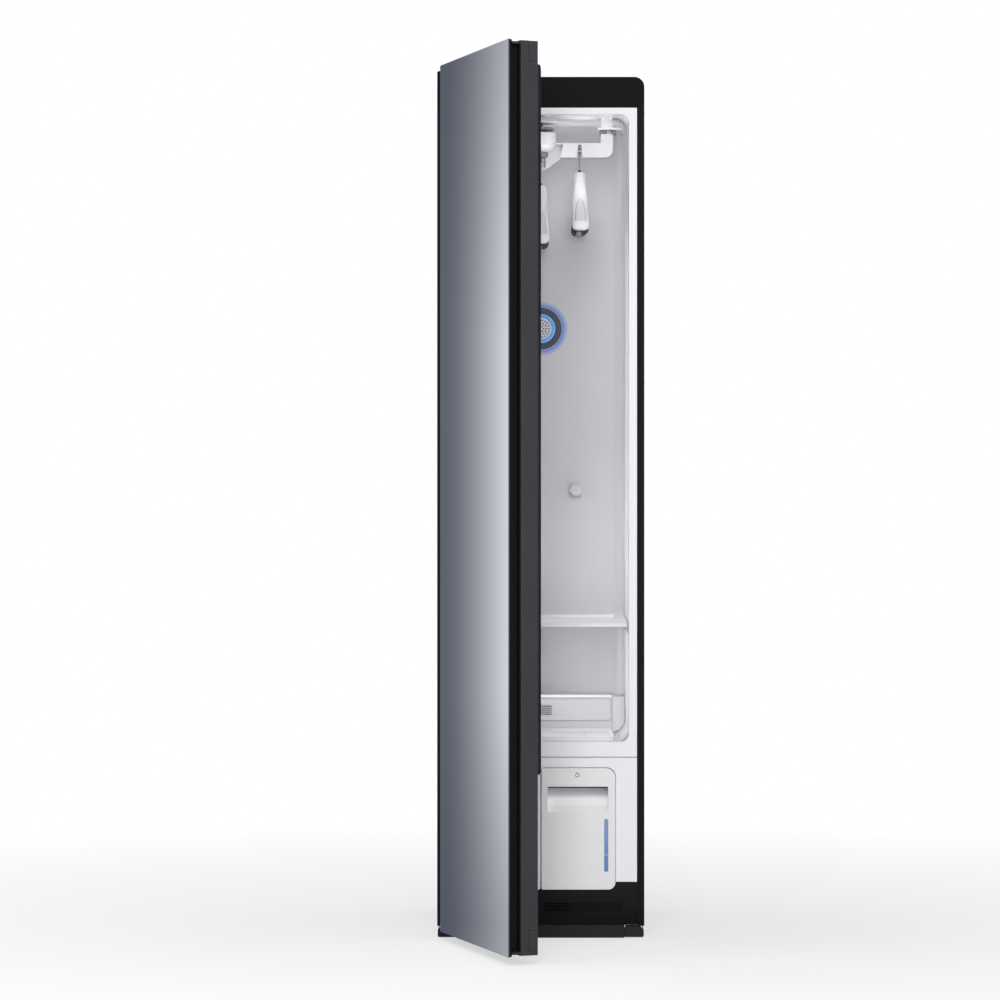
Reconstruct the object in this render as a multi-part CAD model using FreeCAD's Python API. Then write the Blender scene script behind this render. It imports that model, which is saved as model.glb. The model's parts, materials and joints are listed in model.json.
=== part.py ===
import FreeCAD, Part
import math
import os

os.makedirs("parts", exist_ok=True)

# Clothes care steam cabinet: a slim upright wardrobe that steams and shakes clothes.
# Millimetres. X runs across the cabinet, Y from the front face into the cabinet, Z up.
# The origin is on the floor, below the middle of the cabinet's front face.
# The door is drawn closed and then swung open to the pose in which the cabinet stands.

V = FreeCAD.Vector
UP = V(0, 0, 1)
ACROSS = V(1, 0, 0)
INWARD = V(0, 1, 0)

# ---- driving dimensions: cabinet ------------------------------------------------------
HALF_W = 222.5
BODY_TOP = 1850.0
BODY_DEPTH = 513.0
BODY_BOTTOM = 26.0
SHEET = 1.2
TOP_CORNER_R = 21.5
FRONT_RETURN = 15.5
REAR_RETURN = 14.0
BAND_BOTTOM = 1784.0
BAND_DEPTH = 11.6

# ---- driving dimensions: wardrobe space ----------------------------------------------
CAV_HALF_W = 189.6
CAV_FLOOR = 421.0
CAV_CEILING = 1785.0
CAV_BACK = 410.0
CAV_EDGE_R = 28.0
MOUTH_TOP = 1769.7
MOUTH_R = 20.0
LINER_WALL = 2.0
FRAME_DEPTH = 12.0
FRAME_HALF_W = 206.7
SEAM_Z = 389.0

# ---- driving dimensions: base ----------------------------------------------------------
BASE_PANEL_TOP = 120.5
PLINTH_TOP = 28.6
PLINTH_END_TOP = 25.8
PLINTH_HALF_W = 180.0
PLINTH_FRONT = 4.0
TANK_INNER_X = 1.0
TANK_OUTER_X = 160.5
TANK_BOTTOM = 104.2
TANK_TOP = 365.4
TANK_DEPTH = 190.0
TANK_PROUD = 5.0
TANK_FRONT_BACK = 23.0
TANK_FLANGE_BACK = -1.2
BAY_HALF_W = 157.0
BAY_TOP = 361.0
BAY_DEPTH = 204.0
BAY_FLOOR = 121.5
SCOOP_X0 = 14.7
SCOOP_X1 = 144.5
SCOOP_TOP = 325.4
SCOOP_KINK = 296.6
SCOOP_LIP = 268.6
WINDOW_X0 = 136.1
WINDOW_X1 = 144.9
WINDOW_Z0 = 142.4
WINDOW_Z1 = 256.7
SLOT_TOP_Z = 74.1
SLOT_PITCH = 5.1
FOOT_X = 201.0
FOOT_FRONT_Y = 42.0
FOOT_REAR_Y = 478.0
CORD_X = 165.0
CORD_Z = 60.0
CORD_R = 9.0

# ---- driving dimensions: door ----------------------------------------------------------
DOOR_HALF_W = 221.0
DOOR_BOTTOM = 17.7
DOOR_TOP = 1869.7
DOOR_FRONT = -72.0
DOOR_BACK = -8.2
GLASS_T = 3.2
BACKPLATE_T = 4.2
GROOVE_W = 19.0
GROOVE_DEPTH = 20.0
DOOR_WALL = 2.2
PIVOT_X = -191.1
PIVOT_Y = -57.0
STANDING_OPEN_DEG = 70.09
GROOVE_FRONT = DOOR_FRONT + GLASS_T + BACKPLATE_T
GROOVE_BACK = GROOVE_FRONT + GROOVE_W
CAP_T = 3.0
RAIL_FLANGE = 34.0
HINGE_CORNER_R = 6.5
DOOR_INNER_BOTTOM = DOOR_BOTTOM + 2.5 + CAP_T
DOOR_INNER_TOP = DOOR_TOP - 2.5 - CAP_T
NOTCH_X = -150.0
NOTCH_TOP_FLOOR = 1846.0
NOTCH_LOW_ROOF = 40.0
BUSH_LENGTH = 14.0
BUSH_R = 5.2
PIN_R = 4.0
ARM_HALF_W = 6.5
ARM_LEAN_DEG = 60.0
INSERT_W = 21.0
INSERT_SPANS = ((29.0, 71.4), (1825.6, 1867.2))
INSERT_GAP = 0.4

# ---- driving dimensions: hanger drive ----------------------------------------------------
HANG_Y = 210.0
RAIL_HALF_W = 159.0
RAIL_INNER = 132.6
RAIL_DEPTH = 36.0
RAIL_BOTTOM = 1697.0
RAIL_TOP = 1728.8
ARM_TOP = 1748.6
ROD_Z = 1714.0
ROD_R = 4.0
ROD_START = 51.2
HOOK_R = 8.0
WIRE_R = 2.0
HANGER_PITCH = 86.0
CENTRE_DROP = 28.5
CRANK_R = 18.0
CRANK_PIN_R = 3.5
CRANK_SHAFT_R = 5.0
HUB_R = 34.0
HUB_BOTTOM = 1709.8
HUB_HEIGHT = 42.0
HUB_SEAT_GAP = 0.3
GATE_FOOT = 43.5
GATE_HEAD = 49.5
HUB_BOSS_R = 16.0
HOOK_Z = ROD_Z + ROD_R + 0.05 - (HOOK_R - WIRE_R)
NECK_Z = 1666.0
SHOULDER_DROP = 16.0
TIP_Z = 1537.0
TIP_HALF_X = 19.3
HALF_SPAN = 172.0
CORE_DROP = 13.0
HANGER_LEAN_DEG = 4.0
COLLAR_GAP = 0.4

RING_Z = 1331.0
RING_SEAT_R = 46.0
PEG_X = 79.1
PEG_Z = 965.0
SHELF_Z = 668.0
BLOWER_X = 100.0
BLOWER_Y = 406.0
SCROLL_BOTTOM = 92.0
SCROLL_GROWTH = 22.0
MODULE_FRONT = 310.0
MODULE_TOP = 505.0
MODULE_HALF_W = 160.0
DRAWER_HALF_W = 156.7
DRAWER_Z0 = 448.0
DRAWER_Z1 = 496.0


# ---- building helpers --------------------------------------------------------------------
def block(x0, x1, y0, y1, z0, z1):
    return Part.makeBox(x1 - x0, y1 - y0, z1 - z0, V(x0, y0, z0))


def rod(x, y, z, radius, length, axis=UP):
    return Part.makeCylinder(radius, length, V(x, y, z), axis)


def unit(a, b):
    step = b - a
    step.normalize()
    return step


def rounded_corner(before, point, after, radius):
    """Start, end and tangent arc of one corner; a sharp corner has no arc."""
    if radius <= 0:
        return point, point, None
    back = unit(point, before)
    ahead = unit(point, after)
    half = back.getAngle(ahead) / 2
    reach = radius / math.tan(half)
    middle = back + ahead
    middle.normalize()
    nearest = point + middle * (radius / math.sin(half) - radius)
    start = point + back * reach
    end = point + ahead * reach
    return start, end, Part.Arc(start, nearest, end).toShape()


def rounded_wire(points, radii):
    """A closed outline through the points, with a tangent arc of the given radius at each."""
    count = len(points)
    if not isinstance(radii, (list, tuple)):
        radii = [radii] * count
    corners = [rounded_corner(points[i - 1], points[i], points[(i + 1) % count], radii[i])
               for i in range(count)]
    loop = [arc for _, _, arc in corners if arc]
    for i in range(count):
        leaves = corners[i][1]
        meets = corners[(i + 1) % count][0]
        if leaves.distanceToPoint(meets) > 1e-6:
            loop.append(Part.makeLine(leaves, meets))
    return Part.Wire(Part.__sortEdges__(loop))


def prism(points, radii, along):
    """The outline, filled and carried along a vector."""
    return Part.Face(rounded_wire(points, radii)).extrude(along)


def front_plate(x0, x1, z0, z1, radii, y0, y1):
    """A plate facing front; radii go bottom left, bottom right, top right, top left."""
    corners = [V(x0, y0, z0), V(x1, y0, z0), V(x1, y0, z1), V(x0, y0, z1)]
    return prism(corners, radii, V(0, y1 - y0, 0))


def floor_plate(x0, x1, y0, y1, radii, z0, z1):
    """A level plate; radii go front left, front right, back right, back left."""
    corners = [V(x0, y0, z0), V(x1, y0, z0), V(x1, y1, z0), V(x0, y1, z0)]
    return prism(corners, radii, V(0, 0, z1 - z0))


def folded_sheet(points, thickness, along):
    """Sheet metal folded through the points, its thickness laid to the left of the run."""
    normal = V(along)
    normal.normalize()
    offset = []
    for i, point in enumerate(points):
        sides = []
        if i > 0:
            sides.append(normal.cross(unit(points[i - 1], point)))
        if i < len(points) - 1:
            sides.append(normal.cross(unit(point, points[i + 1])))
        mean = sides[0] if len(sides) == 1 else sides[0] + sides[1]
        mean.normalize()
        offset.append(point + mean * (thickness / mean.dot(sides[0])))
    outline = points + offset[::-1]
    return Part.Face(Part.makePolygon(outline + [outline[0]])).extrude(along)


def turned(profile, x, y, z, axis=UP):
    """A solid of revolution from (radius, height) pairs, standing at x, y, z."""
    outline = [V(r, 0, h) for r, h in profile]
    face = Part.Face(Part.makePolygon(outline + [outline[0]]))
    solid = face.revolve(V(0, 0, 0), UP, 360)
    solid.Placement = FreeCAD.Placement(V(x, y, z), FreeCAD.Rotation(UP, axis))
    return solid


def mirrored(shape):
    return shape.mirror(V(0, 0, 0), ACROSS)


def joined(first, *others):
    return first.fuse(list(others)).removeSplitter()


def group(shapes):
    return Part.makeCompound(shapes)


def swung(shape):
    """A door piece, moved from closed to the standing pose."""
    opened = shape.copy()
    opened.rotate(V(PIVOT_X, PIVOT_Y, 0), UP, -STANDING_OPEN_DEG)
    return opened


def save(name, shape):
    shape.exportStep(f"parts/{name}.step")


# ---- outer casing ------------------------------------------------------------------------
def side_panel():
    """Right-hand side sheet with a front return, a safe inner fold and a rear return."""
    path = [
        V(HALF_W - FRONT_RETURN, FRAME_DEPTH, BODY_BOTTOM),
        V(HALF_W - FRONT_RETURN, 0, BODY_BOTTOM),
        V(HALF_W, 0, BODY_BOTTOM),
        V(HALF_W, BODY_DEPTH, BODY_BOTTOM),
        V(HALF_W - REAR_RETURN, BODY_DEPTH, BODY_BOTTOM),
    ]
    height = BODY_TOP - TOP_CORNER_R - 2 - BODY_BOTTOM
    panel = folded_sheet(path, SHEET, V(0, 0, height))
    band_room = block(150, HALF_W + 1, -1, BAND_DEPTH + 0.2, BAND_BOTTOM - 0.2, BODY_TOP)
    return panel.cut(band_room)


def top_cover():
    """Roof sheet whose sides roll down with a large radius to meet the side sheets."""
    bottom = BODY_TOP - TOP_CORNER_R - 1.8
    outer = front_plate(-HALF_W, HALF_W, bottom, BODY_TOP, [0, 0, TOP_CORNER_R, TOP_CORNER_R],
                        BAND_DEPTH + 0.2, BODY_DEPTH)
    inner_r = TOP_CORNER_R - SHEET
    inner = front_plate(SHEET - HALF_W, HALF_W - SHEET, bottom - 1, BODY_TOP - SHEET,
                        [0, 0, inner_r, inner_r], BAND_DEPTH, BODY_DEPTH + 1)
    return outer.cut(inner)


def top_front_band():
    """Moulded front band under the roof edge, open at the back."""
    outer = front_plate(-HALF_W, HALF_W, BAND_BOTTOM, BODY_TOP, [0, 0, TOP_CORNER_R, TOP_CORNER_R],
                        0, BAND_DEPTH)
    wall = 2.5
    inner_r = TOP_CORNER_R - wall
    inner = front_plate(wall - HALF_W, HALF_W - wall, BAND_BOTTOM + wall, BODY_TOP - wall,
                        [2, 2, inner_r, inner_r], wall, BAND_DEPTH + 1)
    ribs = [block(x - 1, x + 1, wall, BAND_DEPTH, BAND_BOTTOM + wall, BODY_TOP - wall)
            for x in (-110, 0, 110)]
    return joined(outer.cut(inner), *ribs)


def back_panel():
    """Rear sheet behind the side returns, with louvres and the hole of the cord inlet."""
    y = BODY_DEPTH - SHEET
    inner_r = TOP_CORNER_R - SHEET
    panel = front_plate(-HALF_W + SHEET, HALF_W - SHEET, BODY_BOTTOM + 2, BODY_TOP - SHEET,
                        [0, 0, inner_r, inner_r], y - SHEET, y)
    for side in (-1, 1):
        for step in range(7):
            z = 90 + 12 * step
            centre = side * 90
            panel = panel.cut(front_plate(centre - 30, centre + 30, z, z + 5, 2.4, y - 3, y + 1))
    return panel.cut(rod(CORD_X, y - 3, CORD_Z, CORD_R, 6, INWARD))


def cord_gland():
    """Bush in the rear sheet through which the mains cord would leave."""
    y = BODY_DEPTH - SHEET
    bush = turned([(5, -14), (CORD_R, -14), (CORD_R, 0), (15, 0), (15, SHEET - 0.1), (5, SHEET - 0.1)],
                  CORD_X, y, CORD_Z, INWARD)
    return bush


def base_pan():
    """Floor sheet of the machine bay, folded up at the back and both sides."""
    x = HALF_W - SHEET
    floor = block(-x, x, 16, BODY_DEPTH - 2 * SHEET, BODY_BOTTOM, BODY_BOTTOM + 2)
    back = block(-x + 1, x - 1, BODY_DEPTH - 2 * SHEET - 1.5, BODY_DEPTH - 2 * SHEET, BODY_BOTTOM, 44)
    sides = [block(min(a, b), max(a, b), 16, BODY_DEPTH - 2 * SHEET, BODY_BOTTOM, 44)
             for a, b in ((-x, -x + 1.5), (x - 1.5, x))]
    beads = [rod(side * 95, 30, BODY_BOTTOM, 6, 180, INWARD).common(
        block(-200, 200, 30, 210, BODY_BOTTOM + 2, 60)) for side in (-1, 1)]
    return joined(floor, back, *sides, *beads)


def plinth_front():
    """Kick board below the base panel. It stands on the floor on an inward lip."""
    half = PLINTH_HALF_W
    back = PLINTH_FRONT + 3
    board = front_plate(-half, half, 0, PLINTH_TOP, 1.5, PLINTH_FRONT, back)
    foot_lip = block(2 - half, half - 2, back, 16, 0, 2)
    top_lip = block(2 - half, half - 2, back, 15.5, PLINTH_TOP - 2.5, PLINTH_TOP)
    ribs = [block(x - 1, x + 1, back, 15.5, 2, PLINTH_TOP - 2.5) for x in (-120, -40, 40, 120)]
    tongues = [block(min(a, b), max(a, b), back, back + 2, 2, PLINTH_END_TOP - 3)
               for a, b in ((-half - 8, 5 - half), (half - 5, half + 8))]
    return joined(board, foot_lip, top_lip, *ribs, *tongues)


def plinth_end():
    """Right-hand end of the kick board, with a chamfered top that clears the foot's screw."""
    y = PLINTH_FRONT
    outline = [
        V(PLINTH_HALF_W + 1.6, y, 1.5),
        V(HALF_W - 1, y, 1.5),
        V(HALF_W - 1, y, 17),
        V(HALF_W - 9, y, PLINTH_END_TOP),
        V(PLINTH_HALF_W + 1.6, y, PLINTH_END_TOP),
    ]
    shell = prism(outline, [1, 4, 3, 3, 1], V(0, 60, 0))
    room = block(PLINTH_HALF_W, HALF_W - 3.5, y + 2.5, 70, -1, PLINTH_END_TOP - 2.5)
    screw_way = rod(FOOT_X, FOOT_FRONT_Y, 0, 8, 40)
    return shell.cut(room).cut(screw_way)


def levelling_foot(x, y):
    """Screw foot: a broad pad with a hexagonal collar and a threaded stem into the base."""
    pad = turned([(0, 0), (12.5, 0), (14, 1.5), (14, 6), (9, 9), (0, 9)], x, y, 0)
    hexagon = [V(x + 8 * math.cos(math.radians(60 * k)), y + 8 * math.sin(math.radians(60 * k)), 9)
               for k in range(6)]
    collar = prism(hexagon, 0, V(0, 0, 5))
    stem = rod(x, y, 14, 4, BODY_BOTTOM - 14)
    return joined(pad, collar, stem)


def base_front_panel():
    """Dark moulded panel over the machine bay, with air slots and shallow ribs beside them."""
    panel = front_plate(-FRAME_HALF_W, FRAME_HALF_W, 29.0, BASE_PANEL_TOP, 1.5, 0, FRAME_DEPTH)
    panel = panel.cut(block(3 - FRAME_HALF_W, FRAME_HALF_W - 3, 3, 15, 32.5, BASE_PANEL_TOP - 3))
    for side in (-1, 1):
        for row in range(4):
            z = SLOT_TOP_Z - SLOT_PITCH * row
            near, far = sorted((side * 5.9, side * 61.8))
            panel = panel.cut(front_plate(near, far, z - 1.4, z + 1.4, 1.3, -1, 4))
            near, far = sorted((side * 63.5, side * 175))
            panel = panel.cut(front_plate(near, far, z - 1.4, z + 1.4, 1.3, -1, 0.8))
    return panel


def lower_front_panel():
    """White lower front: a rim above and beside the tank bay."""
    panel = front_plate(-FRAME_HALF_W, FRAME_HALF_W, BASE_PANEL_TOP + 0.4, SEAM_Z - 1.2, 1, 0,
                        FRAME_DEPTH)
    hollow = block(3 - FRAME_HALF_W, FRAME_HALF_W - 3, 3, FRAME_DEPTH + 1, BASE_PANEL_TOP + 3,
                   SEAM_Z - 4)
    bay = front_plate(-BAY_HALF_W, BAY_HALF_W, BASE_PANEL_TOP - 1, BAY_TOP, [0, 0, 12, 12], -1, 14)
    return panel.cut(hollow).cut(bay)


def tank_bay():
    """Open-fronted tray that the two tanks stand in, with a middle partition."""
    wall = 2.0
    outer = block(-BAY_HALF_W - wall, BAY_HALF_W + wall, FRAME_DEPTH + 0.4, BAY_DEPTH + wall,
                  BAY_FLOOR, BAY_TOP + wall)
    rooms = [block(min(a, b), max(a, b), 0, BAY_DEPTH, BAY_FLOOR + wall, BAY_TOP)
             for a, b in ((-BAY_HALF_W, -1.2), (1.2, BAY_HALF_W))]
    ledge = [block(min(a, b), max(a, b), FRAME_DEPTH + 0.4, BAY_DEPTH, 60, BAY_FLOOR)
             for a, b in ((-BAY_HALF_W - wall, -BAY_HALF_W), (BAY_HALF_W, BAY_HALF_W + wall))]
    legs = [leg.cut(block(-400, 400, 40, 180, 30, 100)) for leg in ledge]
    return joined(outer.cut(group(rooms)), *legs)


def hinge_corner_block():
    """Cap over the unused hinge point at the lower right corner of the case."""
    return front_plate(207.4, 220, 30, 62, 3, -2.4, 0)


# ---- water tanks -------------------------------------------------------------------------
def tank_flange(y0, y1):
    """Front outline of the right tank, with its own radius at each corner."""
    return front_plate(TANK_INNER_X, TANK_OUTER_X, TANK_BOTTOM, TANK_TOP, [4, 16, 21, 4], y0, y1)


def tank_neck(y0, y1, inset):
    """The part of the front moulding that enters the bay."""
    return front_plate(TANK_INNER_X + 3 + inset, BAY_HALF_W - 3 - inset, BAY_FLOOR + 2.5 + inset,
                       BAY_TOP - 3 - inset, [4, 4, 10, 4], y0, y1)


def tank_front():
    """Front moulding with the scooped handle and the seat of the level window."""
    flange = tank_flange(-TANK_PROUD, TANK_FLANGE_BACK)
    rim = [e for e in flange.Edges if e.BoundBox.YMax < -TANK_PROUD + 0.01]
    flange = flange.makeFillet(1.6, rim)
    body = joined(flange, tank_neck(TANK_FLANGE_BACK, TANK_FRONT_BACK, 0))
    body = body.cut(tank_neck(2.4 - TANK_PROUD, TANK_FRONT_BACK + 1, 2.4))
    body = joined(body.cut(scoop_void()), scoop_tray())
    return body.cut(window_seat())


def scoop_profile(grow, front):
    """Side outline of the handle scoop: deep under its top edge, then sloping back out."""
    return [
        V(0, front, SCOOP_TOP + grow),
        V(0, 16 + grow, SCOOP_TOP + grow),
        V(0, 20.5 + grow, SCOOP_TOP - 6),
        V(0, 20.5 + grow, SCOOP_KINK - 2),
        V(0, 15 + grow, SCOOP_KINK - 12 - grow),
        V(0, front, SCOOP_LIP - grow),
    ]


def scoop_void():
    wire = rounded_wire([p + V(SCOOP_X0, 0, 0) for p in scoop_profile(0, -TANK_PROUD - 1)],
                        [0, 3, 3, 6, 6, 0])
    return Part.Face(wire).extrude(V(SCOOP_X1 - SCOOP_X0, 0, 0))


def scoop_tray():
    """The moulded tray behind the scoop, 2 mm thick."""
    wire = rounded_wire([p + V(SCOOP_X0 - 2, 0, 0) for p in scoop_profile(2, -TANK_PROUD + 1)],
                        [0, 4, 4, 7, 7, 0])
    outer = Part.Face(wire).extrude(V(SCOOP_X1 - SCOOP_X0 + 4, 0, 0))
    return outer.cut(scoop_void())


def window_seat():
    return front_plate(WINDOW_X0, WINDOW_X1, WINDOW_Z0, WINDOW_Z1, 4.39, -TANK_PROUD - 1,
                       1.6 - TANK_PROUD)


def tank_window():
    """Tinted strip that shows the water level."""
    return front_plate(WINDOW_X0 + 0.1, WINDOW_X1 - 0.1, WINDOW_Z0 + 0.1, WINDOW_Z1 - 0.1, 4.29,
                       0.3 - TANK_PROUD, 1.6 - TANK_PROUD)


def tank_shell():
    """Water vessel behind the front moulding, open at the top under its lid."""
    x0 = TANK_INNER_X + 3
    x1 = BAY_HALF_W - 3
    z0 = BAY_FLOOR + 2.3
    y0 = TANK_FRONT_BACK
    vessel = floor_plate(x0, x1, y0, TANK_DEPTH, [8, 8, 18, 18], z0, 338)
    room = floor_plate(x0 + 2, x1 - 2, y0 + 2, TANK_DEPTH - 2, [6, 6, 16, 16], z0 + 2, 340)
    return vessel.cut(room)


def tank_lid():
    """Lid with a round filler cap near the front."""
    x0 = TANK_INNER_X + 3
    x1 = BAY_HALF_W - 3
    y0 = TANK_FRONT_BACK
    plate = floor_plate(x0, x1, y0, TANK_DEPTH, [8, 8, 18, 18], 338, 341)
    plug = floor_plate(x0 + 2.2, x1 - 2.2, y0 + 2.2, TANK_DEPTH - 2.2, [6, 6, 15, 15], 333, 338)
    plug = plug.cut(floor_plate(x0 + 4.2, x1 - 4.2, y0 + 4.2, TANK_DEPTH - 4.2, [5, 5, 13, 13],
                                332, 338))
    cap = rod((x0 + x1) / 2, 90, 341, 24, 8)
    grip = block((x0 + x1) / 2 - 20, (x0 + x1) / 2 + 20, 88, 92, 349, 354)
    return joined(plate, plug, cap, grip)


# ---- wardrobe space ------------------------------------------------------------------------
def liner_block(grow, y0, y1):
    """The wardrobe space as a solid with rounded long edges and rounded back edges."""
    radius = CAV_EDGE_R + grow
    body = front_plate(-CAV_HALF_W - grow, CAV_HALF_W + grow, CAV_FLOOR - grow, CAV_CEILING + grow,
                       radius, y0, y1)
    back = [e for e in body.Edges if e.BoundBox.YMin > y1 - 0.01]
    return body.makeFillet(CAV_EDGE_R - 4 + grow, back)


def cabinet_liner():
    """White inner wardrobe, one rounded shell open to the front, with its shelf steps."""
    shell = liner_block(LINER_WALL, FRAME_DEPTH, CAV_BACK + LINER_WALL).cut(
        liner_block(0, FRAME_DEPTH - 2, CAV_BACK))
    shell = shell.cut(rod(0, CAV_BACK - 2, RING_Z, RING_SEAT_R, 8, INWARD))
    shell = shell.cut(rod(0, HANG_Y, CAV_CEILING - 2, 27, 8))
    air_way = block(-116, 116, CAV_BACK - 72, CAV_BACK - 32, CAV_FLOOR - 5, CAV_FLOOR + 1)
    return joined(shell.cut(air_way), *shelf_steps())


def front_frame():
    """White face frame around the mouth of the wardrobe space."""
    plate = front_plate(-FRAME_HALF_W, FRAME_HALF_W, SEAM_Z + 0.2, BAND_BOTTOM - 0.3, 1, 0,
                        FRAME_DEPTH)
    mouth = front_plate(-CAV_HALF_W, CAV_HALF_W, CAV_FLOOR, MOUTH_TOP, MOUTH_R, -1, FRAME_DEPTH + 1)
    relief = front_plate(3 - FRAME_HALF_W, FRAME_HALF_W - 3, SEAM_Z + 3, BAND_BOTTOM - 3.3, 1, 3,
                         FRAME_DEPTH + 1)
    rim = front_plate(-CAV_HALF_W - 3, CAV_HALF_W + 3, CAV_FLOOR - 3, MOUTH_TOP + 3, MOUTH_R + 3, 2,
                      FRAME_DEPTH + 2)
    return plate.cut(relief.cut(rim)).cut(mouth)


def nozzle_housing():
    """Dark round steam outlet in the back wall."""
    return turned([(26, 1), (RING_SEAT_R, 1), (RING_SEAT_R, -1.5), (48.8, -1.5), (48.8, -4),
                   (33, -5), (33, -2), (26, -2)], 0, CAV_BACK - 0.5, RING_Z, INWARD)


def nozzle_grille():
    """Round grille of the steam outlet, drilled in rings."""
    plate = turned([(0, 0), (25.6, 0), (25.6, -3), (22, -4.5), (0, -4.5)], 0, CAV_BACK, RING_Z, INWARD)
    holes = []
    for ring in (1, 2, 3):
        for k in range(6 * ring):
            turn = math.radians(60.0 * k / ring)
            x = 6.4 * ring * math.cos(turn)
            z = RING_Z + 6.4 * ring * math.sin(turn)
            holes.append(rod(x, CAV_BACK - 6, z, 1.7, 8, INWARD))
    return plate.cut(group(holes))


def light_ring():
    """Clear light guide around the grille."""
    return turned([(26, -2.1), (32.8, -2.1), (32.8, -5.2), (31.5, -6.2), (27.5, -6.2), (26, -5.2)], 0,
                  CAV_BACK - 0.5, RING_Z, INWARD)


def back_wall_peg():
    """Short round peg with a domed end."""
    return turned([(0, 0), (12, 0), (12, -4), (14.3, -8), (14.3, -20), (12.6, -24), (8, -25.6), (0, -26)],
                  PEG_X, CAV_BACK, PEG_Z, INWARD)


def shelf():
    """Lift-out shelf tray with a front nosing, raised rear rim and grooves across its top."""
    x = CAV_HALF_W - 3.6
    top = SHELF_Z + 8
    plate = floor_plate(-x, x, 16, 380, [4, 4, 18, 18], SHELF_Z + 5, top)
    nosing = block(0.5 - x, x - 0.5, 16.5, 19.5, SHELF_Z, SHELF_Z + 5)
    rim = block(22 - x, x - 22, 376, 380, top, top + 7)
    flanges = []
    for side in (-1, 1):
        profile = [V(side * x, 24, top), V(side * x, 356, top), V(side * x, 356, top + 5),
                   V(side * x, 300, top + 5)]
        flanges.append(prism(profile, 0, V(-side * 2.5, 0, 0)))
    grooves = [floor_plate(20 - x, x - 20, y, y + 6, 2.9, top - 1, top + 1)
               for y in range(60, 360, 40)]
    return joined(plate, nosing, rim, *flanges).cut(group(grooves))


def shelf_steps():
    """Four moulded steps on the side walls that carry the shelf."""
    steps = []
    for side in (-1, 1):
        for y in (60, 320):
            x = side * CAV_HALF_W
            profile = [
                V(x + side, y, SHELF_Z + 5),
                V(x - side * 12, y, SHELF_Z + 5),
                V(x - side * 12, y, SHELF_Z - 2),
                V(x + side, y, SHELF_Z - 16),
            ]
            steps.append(prism(profile, [0, 2, 3, 0], V(0, 30, 0)))
    return steps


# ---- air module at the back of the floor -----------------------------------------------------
def air_module():
    """Housing across the back of the floor, open at the front for its lint drawer."""
    profile = [
        V(-MODULE_HALF_W, MODULE_FRONT, CAV_FLOOR),
        V(-MODULE_HALF_W, CAV_BACK - 26, CAV_FLOOR),
        V(-MODULE_HALF_W, CAV_BACK, CAV_FLOOR + 26),
        V(-MODULE_HALF_W, CAV_BACK, MODULE_TOP),
        V(-MODULE_HALF_W, MODULE_FRONT, MODULE_TOP),
    ]
    outer = prism(profile, [0, 0, 0, 0, 5], V(2 * MODULE_HALF_W, 0, 0))
    mouth = front_plate(-DRAWER_HALF_W - 0.4, DRAWER_HALF_W + 0.4, DRAWER_Z0 - 0.4, DRAWER_Z1 + 0.4, 8.4,
                        MODULE_FRONT - 1, MODULE_FRONT + 84)
    duct = block(-118, 118, CAV_BACK - 74, CAV_BACK - 30, CAV_FLOOR - 1, DRAWER_Z0 + 2)
    wing = liner_block(-1, 0, CAV_BACK - 1).common(
        block(MODULE_HALF_W, CAV_HALF_W, MODULE_FRONT + 14, CAV_BACK, CAV_FLOOR, MODULE_TOP - 6))
    return joined(outer.cut(mouth).cut(duct), wing, mirrored(wing))


def lint_drawer():
    """Pull-out lint filter: a front cover with air slots and a shallow open frame."""
    cover = front_plate(-DRAWER_HALF_W, DRAWER_HALF_W, DRAWER_Z0, DRAWER_Z1, 8,
                        MODULE_FRONT - 3, MODULE_FRONT + 1)
    for row in range(5):
        z = 480.2 - 4.6 * row
        cover = cover.cut(front_plate(-25, 25, z - 1.1, z + 1.1, 1, MODULE_FRONT - 4, MODULE_FRONT + 2))
    box = block(-150, 150, MODULE_FRONT + 1, MODULE_FRONT + 78, DRAWER_Z0 + 4, DRAWER_Z1 - 6)
    room = block(-147.5, 147.5, MODULE_FRONT, MODULE_FRONT + 75.5, DRAWER_Z0 + 6.5, DRAWER_Z1)
    windows = [block(x - 32, x + 32, MODULE_FRONT + 8, MODULE_FRONT + 70, DRAWER_Z0, DRAWER_Z0 + 10)
               for x in (-105, -35, 35, 105)]
    return joined(cover, box.cut(room).cut(group(windows)))


def lint_mesh():
    """Fine screen lying on the frame of the lint drawer."""
    return block(-147.2, 147.2, MODULE_FRONT + 2, MODULE_FRONT + 75.2, DRAWER_Z0 + 6.5, DRAWER_Z0 + 7.5)


def floor_tray():
    """Shallow drip tray on the floor, with a raised front lip."""
    x = 158.0
    plate = floor_plate(-x, x, 30, MODULE_FRONT - 4, [18, 18, 6, 6], CAV_FLOOR, CAV_FLOOR + 3)
    lip = floor_plate(-x, x, 30, MODULE_FRONT - 4, [18, 18, 6, 6], CAV_FLOOR + 3, CAV_FLOOR + 10)
    lip = lip.cut(floor_plate(3 - x, x - 3, 33, MODULE_FRONT - 7, [15, 15, 4, 4], CAV_FLOOR + 3,
                              CAV_FLOOR + 12))
    grooves = [block(x0 - 3, x0 + 3, 60, 270, CAV_FLOOR + 1.8, CAV_FLOOR + 4)
               for x0 in (-100, -50, 0, 50, 100)]
    return joined(plate, lip).cut(group(grooves))


# ---- hanger drive ----------------------------------------------------------------------------
def ceiling_ring():
    """Round flange under the ceiling that surrounds the crank."""
    return turned([(25, 0), (34, 0), (34, -6), (40, -8.5), (40, -11), (38.5, -12), (25, -12)],
                  0, HANG_Y, CAV_CEILING)


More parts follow.
